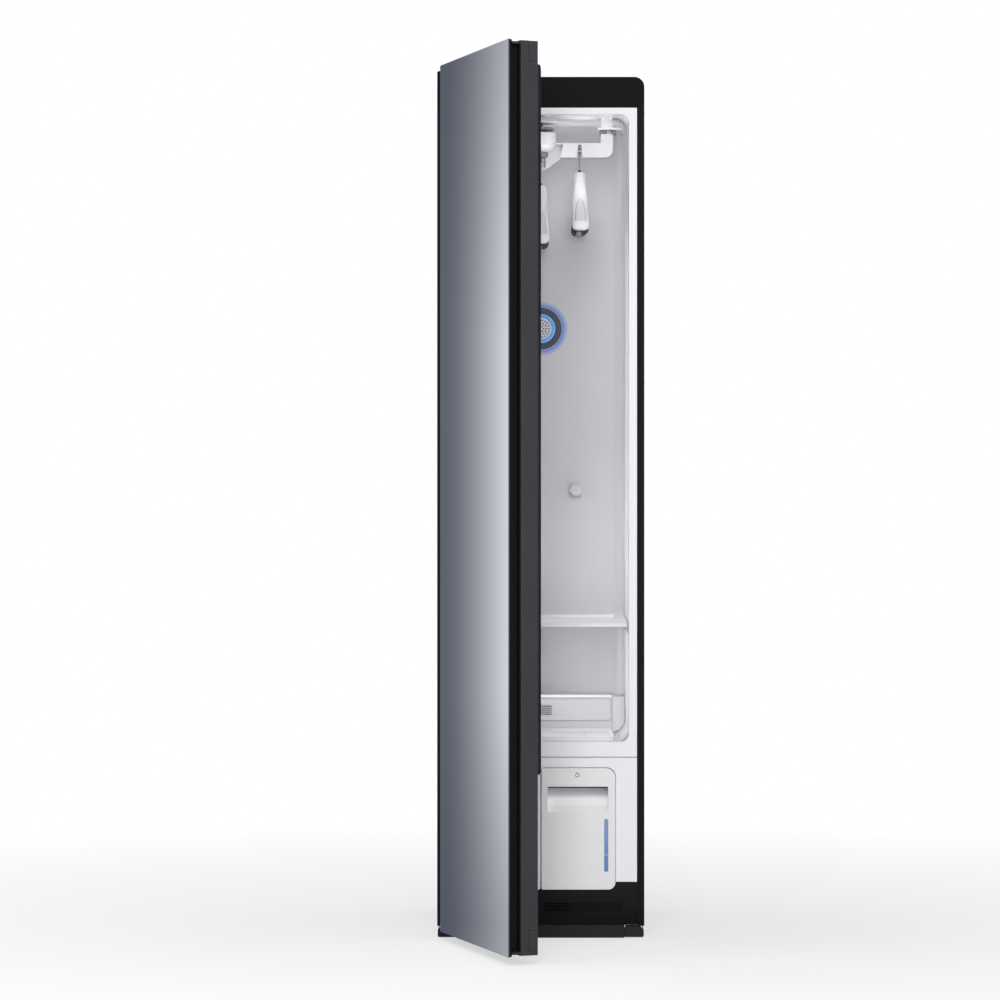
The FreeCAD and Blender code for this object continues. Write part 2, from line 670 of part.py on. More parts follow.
def drive_motor():
    """Geared motor on top of the ceiling, with its shaft bore facing down."""
    foot = floor_plate(-48, 48, HANG_Y - 36, HANG_Y + 36, 10, CAV_CEILING + LINER_WALL,
                       CAV_CEILING + LINER_WALL + 4)
    gearbox = rod(0, HANG_Y, CAV_CEILING + LINER_WALL + 4, 34, 22)
    can = rod(0, HANG_Y, CAV_CEILING + LINER_WALL + 26, 26, 28)
    body = joined(foot, gearbox, can)
    return body.cut(rod(0, HANG_Y, CAV_CEILING - 1, CRANK_SHAFT_R + 0.05, 24))


def drive_crank():
    """Crank disc with its shaft above and its eccentric pin below."""
    disc = turned([(0, 0), (29, 0), (30, 1), (30, 5.5), (0, 5.5)], 0, HANG_Y, 1758.3)
    shaft = rod(0, HANG_Y, 1763.8, CRANK_SHAFT_R, CAV_CEILING + LINER_WALL + 16 - 1763.8)
    pin = rod(0, HANG_Y - CRANK_R, 1745.8, CRANK_PIN_R, 12.5)
    return joined(disc, shaft, pin)


def slide_bracket():
    """Right-hand bracket below the ceiling: two cheeks and a slotted track plate."""
    track = floor_plate(124.4, 178, HANG_Y - 21, HANG_Y + 21, 3, 1758.6, 1763)
    slot = floor_plate(130, 174, HANG_Y - 6, HANG_Y + 6, 5.9, 1757, 1765)
    cheeks = [block(133.2, 157.5, y, y + 3, 1763, CAV_CEILING)
              for y in (HANG_Y - 21, HANG_Y + 18)]
    return joined(track.cut(slot), *cheeks)


def rail_end_slider():
    """T-headed slider that hangs the right end of the rail in its track."""
    web = block(146.5, 155.3, HANG_Y - 5, HANG_Y + 5, ARM_TOP, 1763.1)
    head = floor_plate(142, 160, HANG_Y - 11, HANG_Y + 11, 2, 1763.1, 1767)
    return joined(web, head)


def hanger_rail():
    """Moving rail: two end arms, a channel with hook gates and a dipped rear apron."""
    y0 = HANG_Y - RAIL_DEPTH / 2
    y1 = HANG_Y + RAIL_DEPTH / 2
    outline = [
        V(-RAIL_HALF_W, y0, RAIL_BOTTOM), V(RAIL_HALF_W, y0, RAIL_BOTTOM),
        V(RAIL_HALF_W, y0, ARM_TOP), V(RAIL_INNER, y0, ARM_TOP),
        V(RAIL_INNER, y0, RAIL_TOP), V(-RAIL_INNER, y0, RAIL_TOP),
        V(-RAIL_INNER, y0, ARM_TOP), V(-RAIL_HALF_W, y0, ARM_TOP),
    ]
    body = prism(outline, [16, 16, 4, 1, 3, 3, 1, 4], V(0, RAIL_DEPTH, 0))
    channel = block(-RAIL_INNER - 4, RAIL_INNER + 4, y0 + 3, y1 - 3, RAIL_BOTTOM - 1, RAIL_TOP - 3)
    low = RAIL_BOTTOM
    high = RAIL_TOP - 3
    middle = [V(-GATE_FOOT, y0 - 1, low), V(GATE_FOOT, y0 - 1, low), V(GATE_HEAD, y0 - 1, high),
              V(-GATE_HEAD, y0 - 1, high)]
    body = body.cut(channel).cut(prism(middle, [0, 0, 0, 0], V(0, 5, 0)))
    slanted = [V(GATE_FOOT, y0 + 3, low), V(GATE_FOOT + 3, y0 + 3, low), V(GATE_HEAD + 3, y0 + 3, high),
               V(GATE_HEAD, y0 + 3, high)]
    rib = prism(slanted, [0, 0, 0, 0], V(0, RAIL_DEPTH - 6, 0))
    body = joined(body, rib, mirrored(rib))
    for side in (-1, 1):
        x = side * HANGER_PITCH
        gate = [V(x - 6, y0 - 1, RAIL_BOTTOM - 1), V(x + 7, y0 - 1, RAIL_BOTTOM - 1),
                V(x + 3.5, y0 - 1, RAIL_TOP - 4), V(x - 3.5, y0 - 1, RAIL_TOP - 4)]
        body = body.cut(prism(gate, [0, 0, 2, 2], V(0, 5, 0)))
    apron = rear_apron(y1)
    body = joined(body, apron)
    body = body.cut(hub_bowl(HUB_SEAT_GAP))
    return body.cut(rod(0, HANG_Y, RAIL_BOTTOM - 4, HUB_BOSS_R + HUB_SEAT_GAP, 20))


def rear_apron(y1):
    """Rear wall of the channel where it dips below the hub in an S-curve."""
    top = RAIL_BOTTOM + 2
    low = 1670.0
    curve = Part.BSplineCurve()
    points = []
    for k in range(13):
        x = -52 + 104 * k / 12
        fall = 0.5 + 0.5 * math.cos(math.pi * max(-1, min(1, x / 50)))
        points.append(V(x, y1 - 3, RAIL_BOTTOM - (RAIL_BOTTOM - low) * fall))
    curve.interpolate(points)
    edge = curve.toShape()
    a = points[0]
    b = points[-1]
    sides = [Part.makeLine(b, V(b.x, b.y, top)), Part.makeLine(V(b.x, b.y, top), V(a.x, a.y, top)),
             Part.makeLine(V(a.x, a.y, top), a)]
    return Part.Face(Part.Wire([edge] + sides)).extrude(V(0, 3, 0))


def hub_bowl(grow):
    """Outside of the bowl-shaped hub, or the seat around it where it is grown."""
    side = [(15, 0), (21, 1.5), (27, 5.5), (31, 11), (33.4, 16), (HUB_R, 21), (HUB_R, HUB_HEIGHT - 1),
            (HUB_R - 1, HUB_HEIGHT)]
    wider = [(r + grow, z - grow) for r, z in side]
    return turned([(0, -grow)] + wider + [(0, HUB_HEIGHT - grow)], 0, HANG_Y, HUB_BOTTOM)


def rail_hub():
    """Bowl-shaped hub in the middle of the rail; the crank pin works in the slot in its roof."""
    roof = HUB_HEIGHT - 3
    cup = hub_bowl(0)
    room = turned([(0, 3), (14, 3), (20, 4.5), (25.5, 8), (29, 13), (31, 20), (31, roof), (0, roof)],
                  0, HANG_Y, HUB_BOTTOM)
    half = CRANK_PIN_R + 0.8
    slot = floor_plate(-half, half, HANG_Y - CRANK_R - half - 1, HANG_Y - CRANK_R + 7 + half, half - 0.1,
                       HUB_BOTTOM + roof - 1, HUB_BOTTOM + HUB_HEIGHT + 1)
    return cup.cut(room).cut(slot)


def hub_boss():
    """Grey boss below the hub with two ears for the middle hook's rod."""
    low = HUB_BOTTOM - 11.3
    boss = turned([(0, 11.3), (HUB_BOSS_R, 11.3), (HUB_BOSS_R, 3), (13, 0), (0, 0)], 0, HANG_Y, low)
    ears = [block(x - 1.5, x + 1.5, HANG_Y - 7, HANG_Y + 7, 1677, low + 2) for x in (-9, 9)]
    return joined(boss, *ears).cut(rod(-20, HANG_Y, ROD_Z - CENTRE_DROP, ROD_R, 40, ACROSS))


def slider_shoes():
    """Two grey shoes on the right end arm, one on each side of the slider's web."""
    y0 = HANG_Y - 11
    y1 = HANG_Y + 11
    spans = ((130, 145.7), (156.1, 166.5))
    return [floor_plate(x0, x1, y0, y1, 1, ARM_TOP + 0.1, 1757.8) for x0, x1 in spans]


def hook_rods():
    """Steel rods that the hooks hang on: one each side of the hub and a short middle one."""
    length = RAIL_INNER + 4 - ROD_START
    right = rod(ROD_START, HANG_Y, ROD_Z, ROD_R, length, ACROSS)
    middle = rod(-12, HANG_Y, ROD_Z - CENTRE_DROP, ROD_R, 24, ACROSS)
    return group([mirrored(right), right, middle])


# ---- hangers -----------------------------------------------------------------------------------
def oval_section(y, z, half_x, half_n, slope):
    """An oval wire across the shoulder line, leaning with its slope."""
    across = V(1, 0, 0)
    up = V(0, -math.sin(slope), math.cos(slope))
    centre = V(0, y, z)
    major, minor = (half_x, half_n) if half_x >= half_n else (half_n, half_x)
    main = across if half_x >= half_n else up
    normal = across.cross(up)
    ellipse = Part.Ellipse(centre + main * major,
                           centre + (normal.cross(main)) * minor, centre)
    return Part.Wire([ellipse.toShape()])


def shoulder_oval(side, t, narrow=0.0, drop=0.0):
    """The oval at a share t of the way from the neck to the tip of one shoulder."""
    fall = NECK_Z - SHOULDER_DROP - TIP_Z
    y = HANG_Y + side * (4 + (HALF_SPAN - 4) * t)
    z = NECK_Z - SHOULDER_DROP - fall * (0.8 * t + 0.2 * t ** 3) - drop * (0.3 + 0.7 * t)
    slope = -side * math.atan(fall * (0.8 + 0.6 * t * t) / HALF_SPAN)
    half_x = 10 + (TIP_HALF_X - 10) * t ** 0.7 - narrow
    return oval_section(y, z, half_x, 14 - 3 * t - narrow, slope)


def hanger_half(side):
    """White shoulder: ovals carried down a gentle curve from the neck to a broad tip."""
    return Part.makeLoft([shoulder_oval(side, k / 5) for k in range(6)], True, False)


def hanger_core(side, shell):
    """Dark core that shows below the white shoulder as a narrow crescent."""
    ovals = [shoulder_oval(side, t, 1.0, CORE_DROP) for t in (0.12, 0.4, 0.7, 0.985)]
    return Part.makeLoft(ovals, True, False).cut(shell)


def hanger_body():
    """Broad-shouldered hanger, a white shell over a dark core, hanging slightly front-down."""
    neck = turned([(0, -44), (9, -44), (13, -36), (13.5, -14), (11, -4), (6, 0), (0, 0)], 0, HANG_Y, NECK_Z)
    shell = joined(neck, hanger_half(1), hanger_half(-1))
    body = group([shell, hanger_core(1, shell), hanger_core(-1, shell)])
    body.rotate(V(0, HANG_Y, NECK_Z), ACROSS, HANGER_LEAN_DEG)
    return body


def hanger_hook():
    """Steel hook: a stem from the neck and three quarters of a ring over the rod."""
    ring = Part.makeTorus(HOOK_R, WIRE_R, V(0, 0, 0), UP, 0, 360, 275)
    turn = FreeCAD.Rotation(V(0, 0, -1), V(0, 1, 0), V(1, 0, 0), "XYZ")
    ring.Placement = FreeCAD.Placement(V(0, HANG_Y, HOOK_Z), turn)
    foot = NECK_Z + COLLAR_GAP
    stem = rod(0, HANG_Y, foot, WIRE_R, HOOK_Z - HOOK_R + 0.2 - foot)
    return joined(ring, stem)


def hanger_collar():
    """Dark ferrule where the hook enters the neck."""
    return turned([(0, 0), (5, 0), (4, 5), (0, 5)], 0, HANG_Y, NECK_Z + COLLAR_GAP)


# ---- machine bay -------------------------------------------------------------------------------
def compressor():
    """Hermetic compressor pot with its foot plate."""
    pot = turned([(0, 0), (50, 0), (58, 12), (58, 60), (60, 64), (58, 68), (58, 118), (46, 138), (18, 146),
                  (0, 146)], -128, 350, 46)
    plate = floor_plate(-196, -60, 290, 410, 14, 40, 43.5)
    saddle = rod(-128, 350, 43.5, 46, 6)
    grommets = [rod(x, y, BODY_BOTTOM + 2, 9, 12) for x in (-184, -72) for y in (302, 398)]
    return joined(plate, saddle, pot, *grommets)


def heat_exchanger():
    """Finned block: thin plates on two tube rows between end plates."""
    x0 = 62.0
    x1 = 196.0
    fins = [block(x0 + 6 * k, x0 + 6 * k + 1.2, 236, 296, 60, 216) for k in range(23)]
    plates = [block(x, x + 2, 232, 300, BODY_BOTTOM + 2, 222) for x in (x0 - 4, x1 + 2)]
    tubes = [rod(x0 - 10, y, z, 4.5, x1 - x0 + 20, ACROSS)
             for y in (250, 282) for z in (84, 116, 148, 180)]
    return joined(plates[0], plates[1], *tubes, *fins)


def scroll_solid(start_r, z, height):
    """Upright solid under a spiral that opens by SCROLL_GROWTH in one turn."""
    outline = []
    for k in range(25):
        turn = math.radians(15 * k)
        radius = start_r + SCROLL_GROWTH * k / 24
        outline.append(V(BLOWER_X + radius * math.cos(turn), BLOWER_Y + radius * math.sin(turn), z))
    curve = Part.BSplineCurve()
    curve.interpolate(outline)
    closing = Part.makeLine(outline[-1], outline[0])
    return Part.Face(Part.Wire([curve.toShape(), closing])).extrude(V(0, 0, height))


def blower_housing():
    """Scroll housing: a spiral wall between two flat cheeks, blowing to the left and up."""
    solid = scroll_solid(66, SCROLL_BOTTOM, 74).cut(scroll_solid(63.5, SCROLL_BOTTOM + 2.5, 69))
    solid = solid.cut(rod(BLOWER_X, BLOWER_Y, SCROLL_BOTTOM + 60, 44, 20))
    legs = []
    for angle in (30, 150, 270):
        x = BLOWER_X + 50 * math.cos(math.radians(angle))
        y = BLOWER_Y + 50 * math.sin(math.radians(angle))
        legs.append(rod(x, y, BODY_BOTTOM + 2, 6, SCROLL_BOTTOM - BODY_BOTTOM - 2))
    bore = rod(BLOWER_X, BLOWER_Y, SCROLL_BOTTOM - 2, 3.05, 8)
    return joined(solid, *legs).cut(bore)


def blower_wheel():
    """Radial wheel: a back plate, a ring of curved blades, a shroud ring and its shaft."""
    z0 = SCROLL_BOTTOM + 8
    plate = rod(BLOWER_X, BLOWER_Y, z0, 56, 2.5)
    hub = rod(BLOWER_X, BLOWER_Y, z0, 12, 22)
    shroud = rod(BLOWER_X, BLOWER_Y, z0 + 42.5, 56, 2.5).cut(rod(BLOWER_X, BLOWER_Y, z0 + 42, 42, 4))
    blades = []
    for k in range(24):
        blade = block(41, 55.6, -1, 1, z0 + 1, z0 + 44)
        blade.rotate(V(48, 0, 0), UP, 28)
        blade.translate(V(BLOWER_X, BLOWER_Y, 0))
        blade.rotate(V(BLOWER_X, BLOWER_Y, 0), UP, 15 * k)
        blades.append(blade)
    envelope = rod(BLOWER_X, BLOWER_Y, z0, 56, 46)
    ring = blades[0].fuse(blades[1:]).common(envelope)
    shaft = rod(BLOWER_X, BLOWER_Y, SCROLL_BOTTOM - 6, 3, 20)
    return joined(plate, hub, shroud, ring, shaft)


def steam_generator():
    """Boiler with a domed lid, two feet and its steam outlet stub."""
    body = floor_plate(-44, 40, 226, 306, 16, 60, 132)
    lid = floor_plate(-38, 34, 232, 300, 14, 132, 144)
    feet = [block(x, x + 10, 240, 292, BODY_BOTTOM + 2, 60) for x in (-38, 24)]
    stub = rod(0, 266, 144, 9, 16)
    return joined(body, lid, stub, *feet)


def steam_duct():
    """Rear duct from the machine bay up to the steam outlet."""
    x = 42.0
    y0 = CAV_BACK + LINER_WALL + 3
    outer = block(-x, x, y0, y0 + 46, 330, RING_Z + 50)
    inner = block(2 - x, x - 2, y0 + 2, y0 + 44, 328, RING_Z + 48)
    neck = rod(0, CAV_BACK + LINER_WALL, RING_Z, 40, 4, INWARD)
    bore = rod(0, CAV_BACK, RING_Z, 36, 8, INWARD)
    return joined(outer.cut(inner), neck).cut(bore)


def drain_pump():
    """Small drain pump beside the compressor."""
    motor = rod(-30, 400, 48, 24, 46)
    volute = rod(-30, 400, 34, 30, 14)
    foot = block(-62, 2, 372, 428, BODY_BOTTOM + 2, 34)
    spout = rod(-30, 425, 41, 6, 30, INWARD)
    return joined(foot, volute, motor, spout)


def control_box():
    """Flat control box on the ceiling behind the top band."""
    box = floor_plate(-190, -62, 60, 170, 6, CAV_CEILING + LINER_WALL, 1830)
    return box.cut(floor_plate(-187.5, -64.5, 62.5, 167.5, 4, CAV_CEILING + LINER_WALL + 2.5, 1831))


def control_board():
    """Circuit board on the floor of the control box, with a few tall parts."""
    floor = CAV_CEILING + LINER_WALL + 2.5
    posts = [rod(x, y, floor, 3, 5) for x in (-180, -72) for y in (70, 160)]
    board = block(-185, -67, 65, 165, floor + 5, floor + 6.6)
    parts = [rod(-160, 90, floor + 6.6, 8, 22), rod(-136, 90, floor + 6.6, 8, 22),
             block(-120, -90, 120, 150, floor + 6.6, floor + 20),
             block(-176, -140, 122, 154, floor + 6.6, floor + 14)]
    return joined(board, *posts, *parts)


# ---- door, drawn closed --------------------------------------------------------------------------
def door_glass():
    """Tinted glass front of the door."""
    plate = front_plate(-DOOR_HALF_W, DOOR_HALF_W, DOOR_BOTTOM, DOOR_TOP, 3, DOOR_FRONT,
                        DOOR_FRONT + GLASS_T)
    return plate.makeChamfer(0.8, [e for e in plate.Edges if e.BoundBox.YMax < DOOR_FRONT + 0.01])


def door_backplate():
    """Dark carrier plate that the glass is bonded to."""
    y = DOOR_FRONT + GLASS_T
    plate = front_plate(1 - DOOR_HALF_W, DOOR_HALF_W - 1, DOOR_BOTTOM + 1, DOOR_TOP - 1, 2, y,
                        y + BACKPLATE_T)
    return plate


def hinge_notches():
    """Room at both ends of the hinge side for the hinge arms to swing in."""
    x0 = -DOOR_HALF_W - 1
    upper = block(x0, NOTCH_X, GROOVE_FRONT, DOOR_BACK + 5, NOTCH_TOP_FLOOR, DOOR_TOP + 5)
    lower = block(x0, NOTCH_X, GROOVE_FRONT, DOOR_BACK + 5, 0, NOTCH_LOW_ROOF)
    return group([upper, lower])


def pocket_span(top):
    """Lowest and highest level of the block that holds a hinge bush."""
    if top:
        return NOTCH_TOP_FLOOR - BUSH_LENGTH, NOTCH_TOP_FLOOR
    return NOTCH_LOW_ROOF, NOTCH_LOW_ROOF + BUSH_LENGTH


def insert_room(z0, z1):
    """Corner of the free-side rail that a hinge seat cap fills."""
    return block(DOOR_HALF_W - 8, DOOR_HALF_W + 1, DOOR_BACK - INSERT_W, DOOR_BACK + 1, z0, z1)


def door_grip_rail():
    """Free-side rail whose section wraps a full-height finger groove."""
    z0 = DOOR_INNER_BOTTOM
    x = DOOR_HALF_W
    deep = x - GROOVE_DEPTH
    t = DOOR_WALL
    outline = [
        V(deep - 24, GROOVE_FRONT, z0), V(deep, GROOVE_FRONT, z0),
        V(deep, GROOVE_BACK, z0), V(x, GROOVE_BACK, z0), V(x, DOOR_BACK, z0),
        V(x - RAIL_FLANGE, DOOR_BACK, z0), V(x - RAIL_FLANGE, DOOR_BACK - t, z0),
        V(x - t, DOOR_BACK - t, z0), V(x - t, GROOVE_BACK + t, z0),
        V(deep - t, GROOVE_BACK + t, z0), V(deep - t, GROOVE_FRONT + t, z0),
        V(deep - 24, GROOVE_FRONT + t, z0),
    ]
    radii = [0, 0, 6, 3, 3.5, 0, 0, 1.5, 1, 7, 1.5, 0]
    rail = prism(outline, radii, V(0, 0, DOOR_INNER_TOP - z0))
    return rail.cut(group([insert_room(low, high) for low, high in INSERT_SPANS]))


def door_hinge_rail():
    """Hinge-side rail, a channel cut back at both ends for the hinge arms."""
    z0 = DOOR_INNER_BOTTOM
    x = -DOOR_HALF_W
    t = DOOR_WALL
    outline = [
        V(x + 26, GROOVE_FRONT, z0), V(x + 26, GROOVE_FRONT + t, z0),
        V(x + t, GROOVE_FRONT + t, z0), V(x + t, DOOR_BACK - t, z0),
        V(x + RAIL_FLANGE, DOOR_BACK - t, z0), V(x + RAIL_FLANGE, DOOR_BACK, z0),
        V(x, DOOR_BACK, z0), V(x, GROOVE_FRONT, z0),
    ]
    radii = [0, 0, 1.5, HINGE_CORNER_R - DOOR_WALL, 0, 0, HINGE_CORNER_R, 0.5]
    rail = prism(outline, radii, V(0, 0, DOOR_INNER_TOP - z0))
    for top in (True, False):
        low, high = pocket_span(top)
        rail = rail.cut(block(x + t, NOTCH_X, GROOVE_FRONT - 1, GROOVE_FRONT + t + 1.6, low, high))
    return rail.cut(hinge_notches())


def door_inner_panel():
    """Inner skin of the door with a broad shallow recess."""
    edge = DOOR_HALF_W - RAIL_FLANGE - 0.1
    skin = front_plate(-edge, edge, DOOR_INNER_BOTTOM, DOOR_INNER_TOP, 0, DOOR_BACK - DOOR_WALL,
                       DOOR_BACK)
    pan = front_plate(-170, 170, 420, 1790, 24, DOOR_BACK - 12, DOOR_BACK)
    recess = front_plate(-168, 168, 422, 1788, 22, DOOR_BACK - 10, DOOR_BACK + 1)
    pockets = [block(-DOOR_HALF_W, NOTCH_X, DOOR_BACK - 12, DOOR_BACK - DOOR_WALL,
                     *pocket_span(top)) for top in (True, False)]
    return joined(skin, pan).cut(recess).cut(hinge_notches()).cut(group(pockets))


def door_end_cap(top):
    """End cap: a plate over the section with a sunken floor where the finger groove ends."""
    z0 = DOOR_INNER_TOP if top else DOOR_BOTTOM + 2.5
    x = DOOR_HALF_W
    deep = x - GROOVE_DEPTH
    plate = floor_plate(-x, x, GROOVE_FRONT, DOOR_BACK, [0, 0, 3.5, 3.5], z0, z0 + CAP_T)
    plate = plate.cut(block(deep, x + 1, GROOVE_FRONT - 1, GROOVE_BACK, z0 - 1, z0 + CAP_T + 1))
    low, high = (z0 - 4, z0 + CAP_T) if top else (z0, z0 + CAP_T + 4)
    plug = floor_plate(deep, x, GROOVE_FRONT, GROOVE_BACK, [0, 0, 0, 6.2], low, high)
    sunk = low + 1.6 if top else low - 1
    plug = plug.cut(floor_plate(deep + 1.6, x + 1, GROOVE_FRONT - 1, GROOVE_BACK - 1.6, [0, 0, 0, 4.6],
                                sunk, sunk + CAP_T + 3.4))
    seats = group([insert_room(low, high) for low, high in INSERT_SPANS])
    return joined(plate, plug).cut(hinge_notches()).cut(seats)


def hinge_pocket(top):
    """Block behind the hinge notch that holds the bush, lightened from its closed side."""
    low, high = pocket_span(top)
    body = floor_plate(-DOOR_HALF_W + DOOR_WALL, NOTCH_X, GROOVE_FRONT, DOOR_BACK - DOOR_WALL,
                       [0, 0, 0, HINGE_CORNER_R - DOOR_WALL + 0.1], low, high)
    open_end = low - 1 if top else low + 3
    body = body.cut(block(-178, NOTCH_X - 3, -58, DOOR_BACK - 6, open_end, open_end + BUSH_LENGTH - 2))
    body = body.cut(block(-214, -180, -44, DOOR_BACK - 6, open_end, open_end + BUSH_LENGTH - 2))
    return body.cut(rod(PIVOT_X, PIVOT_Y, low - 1, BUSH_R, BUSH_LENGTH + 2))


def hinge_bush(top):
    """Plastic bush in which the hinge pin turns."""
    low, high = pocket_span(top)
    bore = PIN_R + 0.06
    seat = BUSH_R - 0.02
    return turned([(bore, 0), (seat, 0), (seat, high - low), (bore, high - low)], PIVOT_X, PIVOT_Y, low)


def corner_insert(z0, z1):
    """Flush cap over the spare hinge seat on the free edge of the door."""
    x = DOOR_HALF_W
    y = DOOR_BACK
    low = z0 + INSERT_GAP
    high = z1 - INSERT_GAP
    cap = floor_plate(x - 8 + INSERT_GAP, x, y - INSERT_W + INSERT_GAP, y, [0, 1, 3.5, 0], low, high)
    room = floor_plate(x - 9, x - DOOR_WALL, y - INSERT_W - 1, y - DOOR_WALL, [0, 0, 1.5, 0],
                       low + 2, high - 2)
    return cap.cut(room)


def door_gasket():
    """Soft seal around the inner skin, a bellows section carried round a rectangle."""
    x0, x1 = -198.0, DOOR_HALF_W - 5
    z0, z1 = 383.0, 1822.5
    y0, y1 = DOOR_BACK, -0.6
    ring = front_plate(x0, x1, z0, z1, 14, y0, y1)
    ring = ring.cut(front_plate(x0 + 12, x1 - 12, z0 + 12, z1 - 12, 4, y0 - 1, y1 + 1))
    waist = front_plate(x0 - 5, x1 + 5, z0 - 5, z1 + 5, 16, y0 + 4, y0 + 6)
    waist = waist.cut(front_plate(x0 + 2, x1 - 2, z0 + 2, z1 - 2, 12, y0 + 3, y0 + 7))
    return ring.cut(waist)


def touch_board():
    """Touch board on the back of the carrier plate, behind the glass."""
    y = GROOVE_FRONT
    board = block(-40, 40, y, y + 1.6, 1180, 1420)
    chips = [block(-20, 10, y + 1.6, y + 6, z, z + 26) for z in (1210, 1290, 1360)]
    return joined(board, *chips)


# ---- hinges -----------------------------------------------------------------------------------
def hinge_arm(z0, z1):
    """Flat cranked arm: it leaves the pin towards the back and the middle of the cabinet."""
    lean = math.radians(ARM_LEAN_DEG)
    direction = V(math.cos(lean), math.sin(lean), 0)
    side = V(-math.sin(lean), math.cos(lean), 0) * ARM_HALF_W
    start = V(PIVOT_X, PIVOT_Y, z0)
    end = start + direction * ((-PIVOT_Y + 14) / math.sin(lean))
    strip = Part.Face(Part.makePolygon([start - side, end - side, end + side, start + side,
                                        start - side])).extrude(V(0, 0, z1 - z0))
    boss = rod(PIVOT_X, PIVOT_Y, z0, 7, z1 - z0)
    return joined(strip, boss)


def upper_hinge():
    """Upper hinge plate on the roof, with its arm and pin."""
    z0 = BODY_TOP
    z1 = BODY_TOP + 4
    foot = floor_plate(-196, -112, 4, 84, 5, z0, z1)
    pin_foot = NOTCH_TOP_FLOOR - BUSH_LENGTH + 2
    pin = rod(PIVOT_X, PIVOT_Y, pin_foot, PIN_R, z0 - pin_foot)
    screws = [turned([(0, 0), (5, 0), (4.4, 2), (2.4, 3.2), (0, 3.4)], x, y, z1)
              for x, y in ((-184, 30), (-126, 30), (-155, 70))]
    return joined(foot, hinge_arm(z0, z1), pin, *screws)


def upper_hinge_cover():
    """Moulded cover over the upper hinge, wrapping the rounded corner of the case."""
    z1 = 1862.8
    y0 = 2.0
    y1 = 104.0
    skirt = BODY_TOP - TOP_CORNER_R - 1
    outline = [V(-HALF_W, y0, skirt), V(-104, y0, skirt), V(-104, y0, z1), V(-HALF_W, y0, z1)]
    outer = prism(outline, [0, 0, 4, 4], V(0, y1 - y0, 0))
    case_room = front_plate(-HALF_W, HALF_W, skirt - 5, BODY_TOP, [0, 0, TOP_CORNER_R, TOP_CORNER_R],
                            y0 - 1, y1 + 1)
    inner = block(-HALF_W + 2.2, -106.2, y0 + 2.2, y1 - 2.2, BODY_TOP, z1 - 2.2)
    arm_way = block(-200, -106.2, y0 - 1, y0 + 4, BODY_TOP, BODY_TOP + 4.6)
    return outer.cut(case_room).cut(inner).cut(arm_way)


def lower_hinge():
    """Lower hinge bracket on the front of the base, with its arm and pin."""
    z0 = 31.0
    z1 = 36.0
    face = front_plate(-221, -134, z0, 58, [0, 0, 4, 4], -1.6, 0)
    arm = hinge_arm(z0, z1).cut(block(-400, 400, 0, 400, 0, 400))
    pin = rod(PIVOT_X, PIVOT_Y, z1, PIN_R, NOTCH_LOW_ROOF + BUSH_LENGTH - 2 - z1)
    return joined(face, arm, pin)


# ---- write every piece ----------------------------------------------------------------------
def both_sides(shape):
    """A right-hand piece and its mirror image, as two separate solids."""
    return group([mirrored(shape), shape])


def build_case():
    save("side_panels", both_sides(side_panel()))
    save("top_cover", top_cover())
    save("top_front_band", top_front_band())
    save("back_panel", back_panel())
    save("cord_gland", cord_gland())
    save("base_pan", base_pan())
    save("plinth", group([plinth_front(), plinth_end(), mirrored(plinth_end())]))
    save("levelling_feet", group([levelling_foot(x, y) for x in (-FOOT_X, FOOT_X)
                                  for y in (FOOT_FRONT_Y, FOOT_REAR_Y)]))
    save("base_front_panel", group([base_front_panel(), hinge_corner_block()]))
    save("lower_front_panel", lower_front_panel())
    save("tank_bay", tank_bay())


def build_tanks():
    pieces = {"front": tank_front(), "vessel": group([tank_shell(), tank_lid()]),
              "window": tank_window()}
    for name, piece in pieces.items():
        save(f"right_tank_{name}", piece)
        save(f"left_tank_{name}", mirrored(piece))


def build_wardrobe():
    save("cabinet_liner", cabinet_liner())
    save("front_frame", front_frame())
    save("steam_nozzle", group([nozzle_housing(), nozzle_grille()]))
    save("light_ring", light_ring())
    save("back_wall_peg", back_wall_peg())
    save("shelf", shelf())
    save("air_module", air_module())
    save("lint_drawer", group([lint_drawer(), lint_mesh()]))
    save("floor_tray", floor_tray())


def build_hanger_drive():
    save("ceiling_mounts", group([ceiling_ring(), slide_bracket(), mirrored(slide_bracket())]))
    save("drive_motor", drive_motor())
    save("drive_crank", drive_crank())
    slider = rail_end_slider()
    save("hanger_rail", joined(hanger_rail(), slider, mirrored(slider)))
    save("rail_hub", rail_hub())
    shoes = slider_shoes()
    save("hub_boss", group([hub_boss()] + shoes + [mirrored(shoe) for shoe in shoes]))
    save("hook_rods", hook_rods())


def build_hangers():
    places = {"left": (-HANGER_PITCH, 0), "middle": (0, -CENTRE_DROP), "right": (HANGER_PITCH, 0)}
    body = hanger_body()
    hook = joined(hanger_hook(), hanger_collar())
    for place, (x, z) in places.items():
        for name, piece in (("body", body), ("hook", hook)):
            copy = piece.copy()
            copy.translate(V(x, 0, z))
            save(f"{place}_hanger_{name}", copy)


def build_machine_bay():
    save("compressor", compressor())
    save("heat_exchanger", heat_exchanger())
    save("blower_housing", blower_housing())
    save("blower_wheel", blower_wheel())
    save("steam_generator", steam_generator())
    save("steam_duct", steam_duct())
    save("drain_pump", drain_pump())
    save("control_box", group([control_box(), control_board()]))


